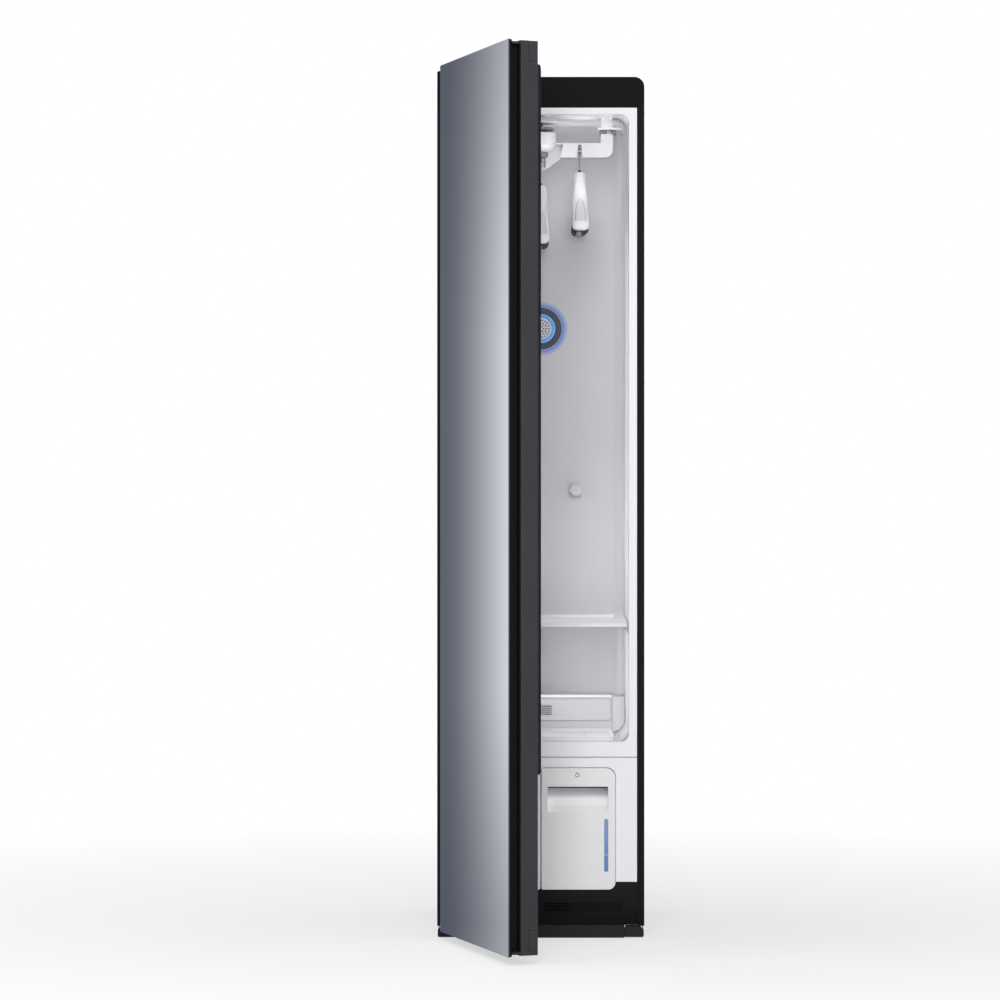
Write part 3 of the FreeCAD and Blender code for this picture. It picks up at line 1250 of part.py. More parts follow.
def build_door():
    save("door_glass", swung(door_glass()))
    save("door_backplate", swung(group([door_backplate(), touch_board()])))
    save("door_grip_rail", swung(door_grip_rail()))
    save("door_hinge_rail", swung(door_hinge_rail()))
    save("door_inner_panel", swung(door_inner_panel()))
    save("door_gasket", swung(door_gasket()))
    save("door_end_caps", swung(group([door_end_cap(True), door_end_cap(False)])))
    save("hinge_pockets", swung(group([hinge_pocket(True), hinge_pocket(False)])))
    save("hinge_bushes", swung(group([hinge_bush(True), hinge_bush(False)])))
    save("corner_inserts", swung(group([corner_insert(low, high) for low, high in INSERT_SPANS])))


def build_hinges():
    save("upper_hinge", upper_hinge())
    save("upper_hinge_cover", upper_hinge_cover())
    save("lower_hinge", lower_hinge())


build_case()
build_tanks()
build_wardrobe()
build_hanger_drive()
build_hangers()
build_machine_bay()
build_door()
build_hinges()
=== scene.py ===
# %% [markdown]
# # A clothes care steam cabinet
# The cabinet stands with its mirror door open. The construction comes packed as a fixed frame,
# with every panel, hinge and tank at its real size. This script adds the looks: finishes for
# the carried-over parts, the glowing nozzle ring among them, and finer pieces for what the eye
# rests on, such as the hangers, the lint mesh and the screws. Units are metres. X runs across the
# cabinet, Y from the front face into it, and Z up from the floor.

# %% Load the frame
import json
import math

import bpy
import numpy as np
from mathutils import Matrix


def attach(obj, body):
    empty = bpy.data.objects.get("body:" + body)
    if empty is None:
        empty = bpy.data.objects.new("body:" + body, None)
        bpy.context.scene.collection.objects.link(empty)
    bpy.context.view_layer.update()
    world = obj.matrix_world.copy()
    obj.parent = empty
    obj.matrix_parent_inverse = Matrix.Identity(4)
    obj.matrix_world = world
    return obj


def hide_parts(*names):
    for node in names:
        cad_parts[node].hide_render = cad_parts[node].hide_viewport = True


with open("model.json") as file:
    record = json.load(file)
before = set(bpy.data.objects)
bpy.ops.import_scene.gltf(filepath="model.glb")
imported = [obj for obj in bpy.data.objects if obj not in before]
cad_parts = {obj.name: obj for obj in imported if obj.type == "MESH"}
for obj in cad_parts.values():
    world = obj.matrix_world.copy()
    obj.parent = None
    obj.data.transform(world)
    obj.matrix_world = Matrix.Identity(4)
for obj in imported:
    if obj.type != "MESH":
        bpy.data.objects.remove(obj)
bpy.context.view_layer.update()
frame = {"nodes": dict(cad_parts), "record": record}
nodes = frame["nodes"]

# %% [markdown]
# ## The camera
# It looks straight along +Y from a little over seven metres away. So far off, with a long lens,
# the cabinet's upright edges stay parallel and the open door still narrows towards its hinge.
# The lens axis isn't in the middle of the picture, so a small shift frames it.

# %% Camera
FRAME_PX = 1000
FOCAL_PX = 3345.0
AXIS_PX = (540.75, 509.3)
SENSOR_MM = 36.0
CAMERA_PLACE = (0.0, -7.186, 0.921)

camera_data = bpy.data.cameras.new("camera")
camera_data.sensor_width = SENSOR_MM
camera_data.lens = FOCAL_PX * SENSOR_MM / FRAME_PX
camera_data.shift_x = 0.5 - AXIS_PX[0] / FRAME_PX
camera_data.shift_y = AXIS_PX[1] / FRAME_PX - 0.5
camera = bpy.data.objects.new("camera", camera_data)
camera.location = CAMERA_PLACE
camera.rotation_euler = (math.radians(90), 0, 0)
bpy.context.scene.collection.objects.link(camera)
bpy.context.scene.camera = camera
bpy.context.scene.view_settings.view_transform = "Standard"
print(f"lens {camera_data.lens:.1f} mm")

# %% [markdown]
# ## Writing materials as sums
# A material is a small graph of nodes. Built by hand, even `1 - mask` takes several lines, so
# one class wraps a socket and lets Python's operators add the Math nodes. Every other node
# comes from one method, which first sets the node's own settings and then its inputs.

# %% Shader maths
class Wire:
    """A number that flows in a material: + - * / on it add Math nodes."""

    def __init__(self, graph, socket):
        self.graph = graph
        self.socket = socket

    def maths(self, operation, *values):
        return self.graph.add("ShaderNodeMath", {"operation": operation}, dict(enumerate(values)))

    def __add__(self, other):
        return self.maths("ADD", self, other)

    def __sub__(self, other):
        return self.maths("SUBTRACT", self, other)

    def __rsub__(self, other):
        return self.maths("SUBTRACT", other, self)

    def __mul__(self, other):
        return self.maths("MULTIPLY", self, other)

    def __truediv__(self, other):
        return self.maths("DIVIDE", self, other)

    def __pow__(self, other):
        return self.maths("POWER", self, other)

    def size(self):
        return self.maths("ABSOLUTE", self)

    def least(self, other):
        return self.maths("MINIMUM", self, other)

    def most(self, other):
        return self.maths("MAXIMUM", self, other)

    def ramp(self, low, high, start=0.0, end=1.0):
        """Straight from start to end as the value goes from low to high, and level outside."""
        values = {0: self, 1: low, 2: high, 3: start, 4: end}
        return self.graph.add("ShaderNodeMapRange", {"clamp": True}, values)

    __radd__ = __add__
    __rmul__ = __mul__


class Graph:
    """The node tree of one material or of the world."""

    def __init__(self, tree):
        self.tree = tree
        tree.nodes.clear()

    def add(self, kind, settings=None, values=None, output=0):
        """A node of this kind, with its settings, its inputs and one of its outputs as a wire."""
        node = self.tree.nodes.new(kind)
        for key, value in (settings or {}).items():
            setattr(node, key, value)
        for key, value in (values or {}).items():
            if isinstance(value, Wire):
                self.tree.links.new(value.socket, node.inputs[key])
            else:
                node.inputs[key].default_value = value
        return Wire(self, node.outputs[output]) if node.outputs else None

    def place(self):
        """The point's coordinates on the object, which are the cabinet's own."""
        return self.add("ShaderNodeTexCoord", output="Object")

    def split(self):
        """The three coordinates of the point, as numbers."""
        at = self.place()
        return [self.add("ShaderNodeSeparateXYZ", values={0: at}, output=k) for k in range(3)]

    def noise(self, scale, detail=3.0, stretch=(1, 1, 1)):
        """Cloudy noise from 0 to 1, `scale` clouds a metre, stretched along the axes."""
        mapped = self.add("ShaderNodeMapping", values={"Vector": self.place(), "Scale": stretch})
        values = {"Vector": mapped, "Scale": scale, "Detail": detail}
        return self.add("ShaderNodeTexNoise", values=values)

    def blend(self, factor, first, second):
        """A colour between two colours. The node's colour sockets follow those for numbers."""
        values = {0: factor, 6: first, 7: second}
        return self.add("ShaderNodeMix", {"data_type": "RGBA"}, values, output=2)


def rgb(red, green, blue):
    """A colour given as screen levels from 0 to 255, turned into light."""
    levels = np.array([red, green, blue]) / 255.0
    light = np.where(levels <= 0.04045, levels / 12.92, ((levels + 0.055) / 1.055) ** 2.4)
    return (*light.tolist(), 1.0)


# %% [markdown]
# ## The studio
# A pale floor and a white surround, with two broad soft lamps. The surround is white to the
# camera and in reflections, but it lights the cabinet gently, so the white plastics keep their
# shading. The floor fades into the surround and keeps the cabinet's shadow near its feet. The
# wardrobe space is deep and half shut off by the door, so ten small lamps light it.

# %% Surround and floor
SURROUND_LIGHT = 0.62
FLOOR_REACH = 12.0
FLOOR_FADE = (0.7, 2.6)
FLOOR_SHADOW = 0.42
MIRRORED_FLOOR_PAINTED_SHADE = 0.45


def seen_rays(graph):
    """1 for rays from the camera and in mirrors and glass, 0 for light that scatters."""
    rays = [graph.add("ShaderNodeLightPath", output=f"Is {kind} Ray")
            for kind in ("Camera", "Glossy", "Transmission")]
    return rays[0].most(rays[1]).most(rays[2])


world = bpy.data.worlds.new("studio")
bpy.context.scene.world = world
world.use_nodes = True
graph = Graph(world.node_tree)
strength = SURROUND_LIGHT + (1.0 - SURROUND_LIGHT) * seen_rays(graph)
surround = graph.add("ShaderNodeBackground", values={"Color": (1, 1, 1, 1), "Strength": strength})
graph.add("ShaderNodeOutputWorld", values={"Surface": surround})

floor_material = bpy.data.materials.new("studio floor")
floor_material.use_nodes = True
graph = Graph(floor_material.node_tree)
x, y, _ = graph.split()
far = ((x * x + y * y) ** 0.5).ramp(*FLOOR_FADE)
matt = graph.add("ShaderNodeBsdfDiffuse", values={"Color": (0.86, 0.86, 0.86, 1)})
mirrored = graph.add("ShaderNodeLightPath", output="Is Glossy Ray")
# Painted shade: in mirrors the floor's white glow is dimmed near the cabinet.
brightness = 1.0 - MIRRORED_FLOOR_PAINTED_SHADE * mirrored * (1.0 - far)
white = graph.add("ShaderNodeEmission", values={"Strength": brightness})
glow = seen_rays(graph) * (1.0 - FLOOR_SHADOW * (1.0 - far))
surface = graph.add("ShaderNodeMixShader", values={0: glow, 1: matt, 2: white})
graph.add("ShaderNodeOutputMaterial", values={"Surface": surface})


def flat_sheet(name, corners, material):
    """A rectangle from its four corners, for the studio."""
    mesh = bpy.data.meshes.new(name)
    mesh.from_pydata(corners, [], [(0, 1, 2, 3)])
    mesh.materials.append(material)
    sheet = bpy.data.objects.new(name, mesh)
    bpy.context.scene.collection.objects.link(sheet)
    return sheet


floor_corners = [(x * FLOOR_REACH, y * FLOOR_REACH, 0) for x, y in ((-1, -1), (1, -1), (1, 1), (-1, 1))]
flat_sheet("studio_floor", floor_corners, floor_material)

# %% Lamps
def soft_lamp(name, place, target, width, height, power, spread=180):
    """A rectangular soft lamp aimed at a point, whose light fans out by `spread` degrees."""
    light = bpy.data.lights.new(name, "AREA")
    light.shape = "RECTANGLE"
    light.size = width
    light.size_y = height
    light.energy = power
    light.spread = math.radians(spread)
    lamp = bpy.data.objects.new(name, light)
    lamp.location = place
    aim = np.array(target, float) - np.array(place, float)
    flat = math.hypot(aim[0], aim[1])
    lamp.rotation_euler = (math.atan2(flat, -aim[2]), 0, math.atan2(-aim[0], aim[1]))
    lamp.visible_glossy = False
    lamp.visible_camera = False
    bpy.context.scene.collection.objects.link(lamp)


soft_lamp("front_lamp", (-0.1, -3.4, 2.1), (0.05, 0.2, 1.0), 1.2, 2.2, 67)
soft_lamp("left_lamp", (-2.6, -1.6, 1.8), (-0.1, -0.1, 0.9), 1.4, 2.4, 22)
soft_lamp("inner_side_lamp", (-0.185, 0.155, 1.12), (1.0, 0.215, 1.12), 0.12, 0.92, 0.80, 80)
soft_lamp("above_shelf_lamp", (-0.185, 0.20, 0.80), (1.0, 0.28, 0.80), 0.12, 0.16, 0.10, 90)
soft_lamp("hanger_lamp", (0.09, 0.030, 1.72), (0.087, 0.14, 1.63), 0.10, 0.06, 0.011, 60)
soft_lamp("hub_lamp", (0.03, 0.030, 1.70), (0.02, 0.190, 1.70), 0.06, 0.04, 0.010, 60)
soft_lamp("behind_rail_lamp", (0.06, 0.31, 1.70), (0.06, 0.311, 2.0), 0.24, 0.10, 0.032, 80)
soft_lamp("upper_side_lamp", (-0.15, 0.26, 1.69), (0.19, 0.32, 1.68), 0.10, 0.14, 0.07, 80)
soft_lamp("inner_top_lamp", (0.11, 0.11, 1.60), (0.11, 0.111, 2.0), 0.14, 0.10, 0.15, 70)
soft_lamp("over_rail_lamp", (0.09, 0.21, 1.735), (0.09, 0.211, 2.0), 0.06, 0.05, 0.009, 100)
soft_lamp("low_front_lamp", (0.10, 0.034, 0.54), (0.12, 1.0, 0.52), 0.16, 0.16, 0.07)
soft_lamp("low_side_lamp", (-0.183, 0.18, 0.58), (1.0, 0.26, 0.56), 0.12, 0.16, 0.30, 90)
print("surround, floor and twelve lamps")

# %% [markdown]
# ## Moulded plastic
# Most of what shows inside the cabinet is injection-moulded plastic. Its tool is lightly
# spark-eroded, which leaves a fine even grain, and the gloss wanders a little over a large
# panel. The grain is a bump too small to see as colour. A moulding's edges are never
# knife-sharp, so a bevel node bends the normal over the last millimetre, which catches a thin
# line of light on every edge.

# %% Moulded finish
GRAIN_SCALE = 1500.0
GRAIN_DEPTH = 0.00012
GRAIN_RELIEF = 0.22
SOFT_RELIEF = 0.1
PLASTIC_EDGE = 0.0009
GLOSS_DRIFT = 0.035


def finished(name, build):
    """A material whose surface is what build(graph) returns."""
    material = bpy.data.materials.new(name)
    material.use_nodes = True
    graph = Graph(material.node_tree)
    graph.add("ShaderNodeOutputMaterial", values={"Surface": build(graph)})
    return material


def grain_normal(graph, height, strength, distance, edge):
    """A bump from a height wire, over edges that are rounded to `edge` metres."""
    rounded = graph.add("ShaderNodeBevel", {"samples": 4}, {"Radius": edge})
    values = {"Strength": strength, "Distance": distance, "Height": height, "Normal": rounded}
    return graph.add("ShaderNodeBump", values=values)


def tinted(colour, factor):
    """The colour made lighter or darker by a factor."""
    return (*(min(1.0, channel * factor) for channel in colour[:3]), 1.0)


def clouded(graph, first, second):
    """A colour that drifts between two close shades, in clouds of about 20 cm."""
    return graph.blend(graph.noise(5.0, 2.0).ramp(0.3, 0.7), first, second)


def plastic(graph, shade, dull, relief=GRAIN_RELIEF, patches=(38.0, 4.0), more=None):
    """A moulding of this shade: its roughness wanders over a range, and it has a fine grain."""
    gloss = graph.noise(*patches).ramp(0.3, 0.7, *dull)
    normal = grain_normal(graph, graph.noise(GRAIN_SCALE, 2.0), relief, GRAIN_DEPTH, PLASTIC_EDGE)
    values = {"Base Color": shade, "Roughness": gloss, "Normal": normal}
    return graph.add("ShaderNodeBsdfPrincipled", values=values | (more or {}))


def moulded(name, colour, roughness=0.4, relief=GRAIN_RELIEF, cloud=0.05, specular=0.5):
    """Plastic of one colour, whose clouds are lighter and darker by the share `cloud`."""

    def build(graph):
        shade = clouded(graph, tinted(colour, 1.0 - cloud), tinted(colour, 1.0 + cloud))
        dull = (roughness - GLOSS_DRIFT, roughness + GLOSS_DRIFT)
        return plastic(graph, shade, dull, relief, more={"Specular IOR Level": specular})

    return finished(name, build)


black_plastic = moulded("black moulded plastic", rgb(10, 10, 11), 0.46, specular=0.14)
door_plastic = moulded("door edge plastic", rgb(50, 49, 53), 0.5, specular=0.2)
backplate_plastic = moulded("carrier plate plastic", rgb(4, 4, 5), 0.5, specular=0.1)
plinth_plastic = moulded("kick board plastic", rgb(34, 34, 36), 0.5, specular=0.25)
white_plastic = moulded("white moulded plastic", rgb(243, 244, 247), 0.33, cloud=0.012)
# Painted shade: the rail's white is a darker copy of the white plastic.
rail_plastic_painted_shade = moulded("white rail plastic, darker as painted shade", rgb(231, 232, 234), 0.36, cloud=0.012)
tank_plastic = moulded("pale grey tank plastic", rgb(238, 238, 240), 0.36, cloud=0.015)
dark_plastic = moulded("dark grey moulded plastic", rgb(62, 63, 68), 0.5)
mid_plastic = moulded("mid grey moulded plastic", rgb(138, 139, 143), 0.45)
acetal = moulded("acetal", rgb(225, 224, 218), 0.3)

# %% [markdown]
# ## Painted and plated steel
# The outer case is pre-painted sheet: the paint has a faint orange peel, broader and softer
# than a moulding's grain. The back and the floor pan are plain zinc-coated sheet, whose
# crystals show as patches that differ in brightness and gloss, which a Voronoi pattern gives.

# %% Steel finishes
def painted_steel(name, colour, roughness=0.36, specular=0.5):
    """Painted sheet with a soft orange peel."""

    def build(graph):
        peel = graph.noise(260.0, 1.0)
        gloss = graph.noise(9.0, 3.0).ramp(0.3, 0.7, roughness - 0.04, roughness + 0.05)
        normal = grain_normal(graph, peel, 0.16, 0.0004, 0.0012)
        shade = graph.blend(graph.noise(3.0).ramp(0.3, 0.7), tinted(colour, 0.94),
                            tinted(colour, 1.06))
        values = {"Base Color": shade, "Roughness": gloss, "Normal": normal,
                  "Specular IOR Level": specular}
        return graph.add("ShaderNodeBsdfPrincipled", values=values)

    return finished(name, build)


def zinc_steel(name):
    """Zinc-coated sheet: crystal patches of a few millimetres, dull and bright."""

    def build(graph):
        cells = graph.add("ShaderNodeTexVoronoi", values={"Vector": graph.place(), "Scale": 95.0},
                          output="Color")
        patch = graph.add("ShaderNodeSeparateColor", values={0: cells})
        shade = graph.blend(patch, (0.43, 0.45, 0.47, 1), (0.60, 0.62, 0.64, 1))
        gloss = patch.ramp(0.0, 1.0, 0.36, 0.52)
        normal = grain_normal(graph, graph.noise(700.0), 0.1, 0.0002, 0.0008)
        values = {"Base Color": shade, "Roughness": gloss, "Metallic": 1.0, "Normal": normal}
        return graph.add("ShaderNodeBsdfPrincipled", values=values)

    return finished(name, build)


def bright_metal(name, colour, roughness, scratch=(1, 1, 40)):
    """Polished or cast metal with fine scratches that run along one axis."""

    def build(graph):
        marks = graph.noise(90.0, 4.0, scratch)
        gloss = marks.ramp(0.3, 0.7, roughness * 0.7, roughness * 1.4)
        normal = grain_normal(graph, marks, 0.06, 0.0002, 0.0005)
        shade = graph.blend(graph.noise(30.0), tinted(colour, 0.93), tinted(colour, 1.05))
        values = {"Base Color": shade, "Roughness": gloss, "Metallic": 1.0, "Normal": normal}
        return graph.add("ShaderNodeBsdfPrincipled", values=values)

    return finished(name, build)


case_paint = painted_steel("dark case paint", rgb(12, 12, 14), specular=0.16)
enamel = painted_steel("black compressor enamel", rgb(24, 24, 27), 0.22)
zinc = zinc_steel("zinc-coated steel")
bright_steel = bright_metal("bright steel", (0.74, 0.74, 0.75), 0.16)
cast_metal = bright_metal("cast aluminium", (0.6, 0.61, 0.62), 0.45, (1, 1, 1))

# %% [markdown]
# ## The mirror door
# The glass is backed with a dark tinted mirror coat, so nothing shows through it. A metal
# with a blue-grey colour and almost no roughness reflects in the same way. Its ground edge
# shows the dark backing, so a mask on the surface's direction picks the edges out.

# %% Mirror glass
DOOR_OPEN = math.radians(70.09)
DOOR_FACING = (-math.sin(DOOR_OPEN), -math.cos(DOOR_OPEN), 0.0)


def mirror_glass(graph):
    """Tinted mirror on the front face, dark ground glass on the edges."""
    direction = graph.add("ShaderNodeTexCoord", output="Normal")
    facing = graph.add("ShaderNodeVectorMath", {"operation": "DOT_PRODUCT"},
                       {0: direction, 1: DOOR_FACING}, output="Value")
    edge = facing.size().ramp(0.9, 0.97, 1.0, 0.0)
    clouds = graph.noise(1.4, 2.0, (1, 1, 0.5)).ramp(0.3, 0.7)
    coat = graph.blend(clouds, (0.60, 0.63, 0.68, 1), (0.62, 0.65, 0.70, 1))
    shade = graph.blend(edge, coat, (0.030, 0.032, 0.036, 1))
    smears = graph.noise(14.0, 5.0, (1, 1, 0.4)).ramp(0.35, 0.75, 0.035, 0.075)
    gloss = smears + edge * 0.22
    values = {"Base Color": shade, "Roughness": gloss, "Metallic": 1.0 - 0.6 * edge}
    return graph.add("ShaderNodeBsdfPrincipled", values=values)


mirror = finished("tinted mirror glass", mirror_glass)

# %% [markdown]
# The open door mirrors the dim side of the studio. A card that only mirrors can see stands
# beside the cabinet and carries that view: dark towards the hinge, light towards the free edge
# as `0.18 + 0.8 t^1.6`. It is darker at the floor and above head height, its light end most. A
# second card lies on the floor in front of it and carries the same run on to the foot of the
# glass.

# %% Card for the mirror
CARD_ALONG = np.array([0.769, 0.639, 0.0])
CARD_AWAY = np.array([-0.639, 0.769, 0.0])
CARD_DISTANCE = 0.38
CARD_SPAN = (-0.43, -0.10)
CARD_FOOT = 0.002
CARD_TOP = 2.3
CARD_FADE = (0.05, 0.2)
CARD_DARK = -0.190
CARD_LIGHT = -0.325
LOW_RISE = (0.0, 0.52)
HIGH_FALL = (1.3, 1.95)


def card_surface(graph):
    """Glow that grows towards the free edge's side, fading out at the card's own borders."""
    x, y, z = graph.split()
    along = x * float(CARD_ALONG[0]) + y * float(CARD_ALONG[1])
    share = along.ramp(CARD_LIGHT, CARD_DARK, 1.0, 0.0)
    dim = 0.18 * z.ramp(*LOW_RISE, 0.74, 0.98) * z.ramp(*HIGH_FALL, 0.97, 0.80)
    bright = 0.8 * z.ramp(*LOW_RISE, 0.49, 0.98) * z.ramp(*HIGH_FALL, 0.97, 0.58)
    level = dim + bright * share ** 1.6
    glow = graph.add("ShaderNodeEmission", values={"Color": (1, 1, 1, 1)})
    dark = graph.add("ShaderNodeEmission", values={"Color": (0, 0.012, 0.050, 1)})
    shade = graph.add("ShaderNodeMixShader", values={0: level, 1: dark, 2: glow})
    inwards = along.ramp(CARD_SPAN[0], CARD_SPAN[0] + CARD_FADE[0])
    cover = inwards * z.ramp(CARD_TOP - CARD_FADE[1], CARD_TOP, 1.0, 0.0)
    clear = graph.add("ShaderNodeBsdfTransparent")
    return graph.add("ShaderNodeMixShader", values={0: cover, 1: clear, 2: shade})


def mirror_card(name, edge_places):
    """A card between two lines, each given as its distance away from the mirror and its height."""
    corners = [tuple(CARD_AWAY * away + CARD_ALONG * along + np.array([0, 0, z]))
               for (away, z), ends in zip(edge_places, (CARD_SPAN, CARD_SPAN[::-1])) for along in ends]
    card = flat_sheet(name, corners, card_finish)
    card.visible_camera = False
    card.visible_diffuse = False
    card.visible_transmission = False
    card.visible_shadow = False


card_finish = finished("mirror card", card_surface)
mirror_card("mirror_card", ((CARD_DISTANCE, CARD_FOOT), (CARD_DISTANCE, CARD_TOP)))
mirror_card("mirror_floor_card", ((CARD_DISTANCE, CARD_FOOT), (-CARD_DISTANCE, CARD_FOOT)))

# %% [markdown]
# ## Rubber, glowing ring and window
# The gasket is soft dull rubber. The ring behind the steam nozzle is a milky light guide, lit
# blue from behind. The nozzle itself is a pale drilled grille in a dark housing. The tank's
# level window is clear plastic in front of blue water.

# %% Rubber, light guide and window
RING_CENTRE = (0.0, 1.331)
RING_RADII = (0.025, 0.0325)
GRILLE_EDGE = (0.0256, 0.0259)
NOZZLE_RIM_PAINTED_LIGHT = (0.0477, 0.0481)
PAINTED_RING_GLOW_REACH = (0.0485, 0.063)
RUBBER = rgb(9, 9, 10)
WINDOW_HEIGHTS = (0.145, 0.255)
FULL_MARK = 0.179


def rubber_finish(graph):
    """Dull black rubber with a powdery bloom."""
    bloom = graph.noise(60.0, 5.0).ramp(0.4, 0.8)
    shade = graph.blend(bloom, tinted(RUBBER, 0.9), tinted(RUBBER, 1.5))
    normal = grain_normal(graph, graph.noise(900.0), 0.2, 0.0002, 0.0006)
    values = {"Base Color": shade, "Roughness": bloom.ramp(0, 1, 0.62, 0.78), "Normal": normal}
    return graph.add("ShaderNodeBsdfPrincipled", values=values)


def from_ring(graph):
    """Distance of the point from the nozzle's axis."""
    x, _, z = graph.split()
    return ((x - RING_CENTRE[0]) ** 2.0 + (z - RING_CENTRE[1]) ** 2.0) ** 0.5


def light_guide(graph):
    """Milky blue plastic, deepest along the middle of the ring."""
    across = from_ring(graph)
    middle = (RING_RADII[0] + RING_RADII[1]) / 2
    spread = (RING_RADII[1] - RING_RADII[0]) / 2
    deep = 1.0 - ((across - middle).size() / spread).least(1.0)
    spots = graph.noise(120.0, 2.0).ramp(0.3, 0.7, 0.85, 1.1)
    shade = graph.blend(deep, rgb(122, 176, 238), rgb(58, 128, 208))
    values = {"Base Color": shade, "Roughness": spots.ramp(0.85, 1.1, 0.2, 0.32),
              "Emission Color": shade, "Emission Strength": 0.42}
    return graph.add("ShaderNodeBsdfPrincipled", values=values)


def water_window(graph):
    """Clear level window over blue water, paler towards its top."""
    _, _, z = graph.split()
    rise = z.ramp(*WINDOW_HEIGHTS)
    ripple = graph.noise(160.0, 2.0, (1, 1, 0.3)).ramp(0.3, 0.7)
    water = graph.blend(rise * 0.7 + ripple * 0.2, rgb(92, 128, 188), rgb(140, 168, 212))
    tick = (z - FULL_MARK).size().ramp(0.0006, 0.0012, 0.6, 0.0)
    shade = graph.blend(tick, water, rgb(205, 220, 240))
    values = {"Base Color": shade, "Roughness": ripple.ramp(0, 1, 0.08, 0.14)}
    return graph.add("ShaderNodeBsdfPrincipled", values=values)


def nozzle_finish(graph):
    """Pale drilled grille in a dark housing, whose rim is painted with the pale blue light it catches.
    """
    across = from_ring(graph)
    speck = graph.noise(240.0, 3.0).ramp(0.3, 0.7, 0.94, 1.06)
    dark = graph.blend(speck - 0.5, rgb(70, 72, 80), rgb(84, 86, 96))
    grille = graph.blend(across.ramp(*GRILLE_EDGE, 1.0, 0.0), dark, rgb(222, 218, 222))
    # Painted light: beyond the rim the housing is pale blue from the ring's light.
    shade = graph.blend(across.ramp(*NOZZLE_RIM_PAINTED_LIGHT), grille, rgb(216, 224, 244))
    values = {"Base Color": shade, "Roughness": speck.ramp(0.94, 1.06, 0.36, 0.46)}
    return graph.add("ShaderNodeBsdfPrincipled", values=values)


nozzle_plastic = finished("steam nozzle plastic", nozzle_finish)
black_rubber = finished("black rubber", rubber_finish)
ring_light = finished("blue light guide", light_guide)
level_window = finished("level window", water_window)

# %% [markdown]
# ## Mouldings in two shades
# Some mouldings have light and shade painted into their colour. The liner's ceiling is painted
# darker at its front and lighter towards its back, and its rear wall has a painted blue glow of
# the ring's light round the nozzle. The tank's handle scoop is painted light on its slope and dim
# in its depth, and the door's rail has painted shade in its finger groove. The base panel is
# painted lighter towards its top and near black in its grooves and slots. The module's side
# wings are light like the liner beside them, and painted lighter still against their shade. The
# drip tray and the front frame run evenly from one shade to another as painted shade: the tray
# darker towards its back, the frame darker towards its top. Each of them blends two colours with
# a mask that is worked out from the point's place.

# %% Mouldings in two shades
LINER = rgb(213, 213, 216)
LINER_CLOUD = 0.02
CEILING_PAINTED_LIGHT_HEIGHTS = (1.770, 1.783)
CEILING_PAINTED_SHADE_DEPTHS = (0.155, 0.22)
REAR_WALL_DEPTHS = (0.400, 0.405)
SCOOP_DEPTHS = (-0.0046, -0.0040)
SCOOP_FOOT = (0.262, 0.266)
SCOOP_PAINTED_LIGHT_TO_SHADE = (0.296, 0.308)
BASE_PAINTED_SHADE_HEIGHTS = (0.035, 0.105)
BASE_GROOVES = (0.0003, 0.0006)
BASE_SLOTS = (0.0009, 0.0012)
WING_PAINTED_LIGHT_EDGE = (0.1602, 0.1608)
TRAY_PAINTED_SHADE_DEPTHS = (0.04, 0.28)
FRAME_PAINTED_SHADE_HEIGHTS = (1.55, 1.80)
HINGE_AXIS = (-0.1911, -0.057)
FINGER_GROOVE_PAINTED_SHADE = (0.0108, 0.0122)


def liner_finish(graph):
    """Pale liner with painted light: its ceiling darker in front and lightest behind, and the ring's
    blue glow round the nozzle.
    """
    _, y, z = graph.split()
    # Painted light: the ring's blue glow on the rear wall, given as colour and as emission.
    painted_ring_glow = y.ramp(*REAR_WALL_DEPTHS) * from_ring(graph).ramp(*PAINTED_RING_GLOW_REACH, 1.0, 0.0)
    walls = clouded(graph, tinted(LINER, 1.0 - LINER_CLOUD), tinted(LINER, 1.0 + LINER_CLOUD))
    # Painted light and shade: the ceiling is darker in front and lighter behind than the walls.
    painted_ceiling_light_and_shade = graph.blend(y.ramp(*CEILING_PAINTED_SHADE_DEPTHS), rgb(180, 180, 183), rgb(238, 238, 241))
    plain = graph.blend(z.ramp(*CEILING_PAINTED_LIGHT_HEIGHTS), walls, painted_ceiling_light_and_shade)
    shade = graph.blend(painted_ring_glow, plain, rgb(88, 124, 206))
    glow = graph.blend(painted_ring_glow, (0, 0, 0, 1), rgb(40, 70, 140))
    return plastic(graph, shade, (0.36, 0.40), SOFT_RELIEF, patches=(6.0, 2.0),
                   more={"Emission Color": glow, "Emission Strength": 0.5})


def tank_front_finish(graph):
    """Tank front whose handle scoop is painted light on its slope and painted dim in its depth."""
    _, y, z = graph.split()
    scoop = y.ramp(*SCOOP_DEPTHS) * z.ramp(*SCOOP_FOOT)
    plain = clouded(graph, rgb(237, 237, 239), rgb(240, 240, 242))
    # Painted light and shade in the scoop: light on its slope, dim above it.
    hollow = graph.blend(z.ramp(*SCOOP_PAINTED_LIGHT_TO_SHADE), rgb(254, 254, 255), rgb(203, 202, 208))
    return plastic(graph, graph.blend(scoop, plain, hollow), (0.33, 0.40))


def base_finish(graph):
    """Dark base panel with painted shade: a shade lighter towards its top, near black in its grooves
    and slots.
    """
    _, y, z = graph.split()
    # Painted shade: lighter towards the top, near black in the grooves and slots.
    face = graph.blend(z.ramp(*BASE_PAINTED_SHADE_HEIGHTS), rgb(9, 9, 10), rgb(26, 26, 27))
    painted_recess_shade = y.ramp(*BASE_GROOVES) * 0.6 + y.ramp(*BASE_SLOTS) * 0.4
    shade = graph.blend(painted_recess_shade, face, rgb(1, 1, 1))
    return plastic(graph, shade, (0.37, 0.44), more={"Specular IOR Level": 0.12})


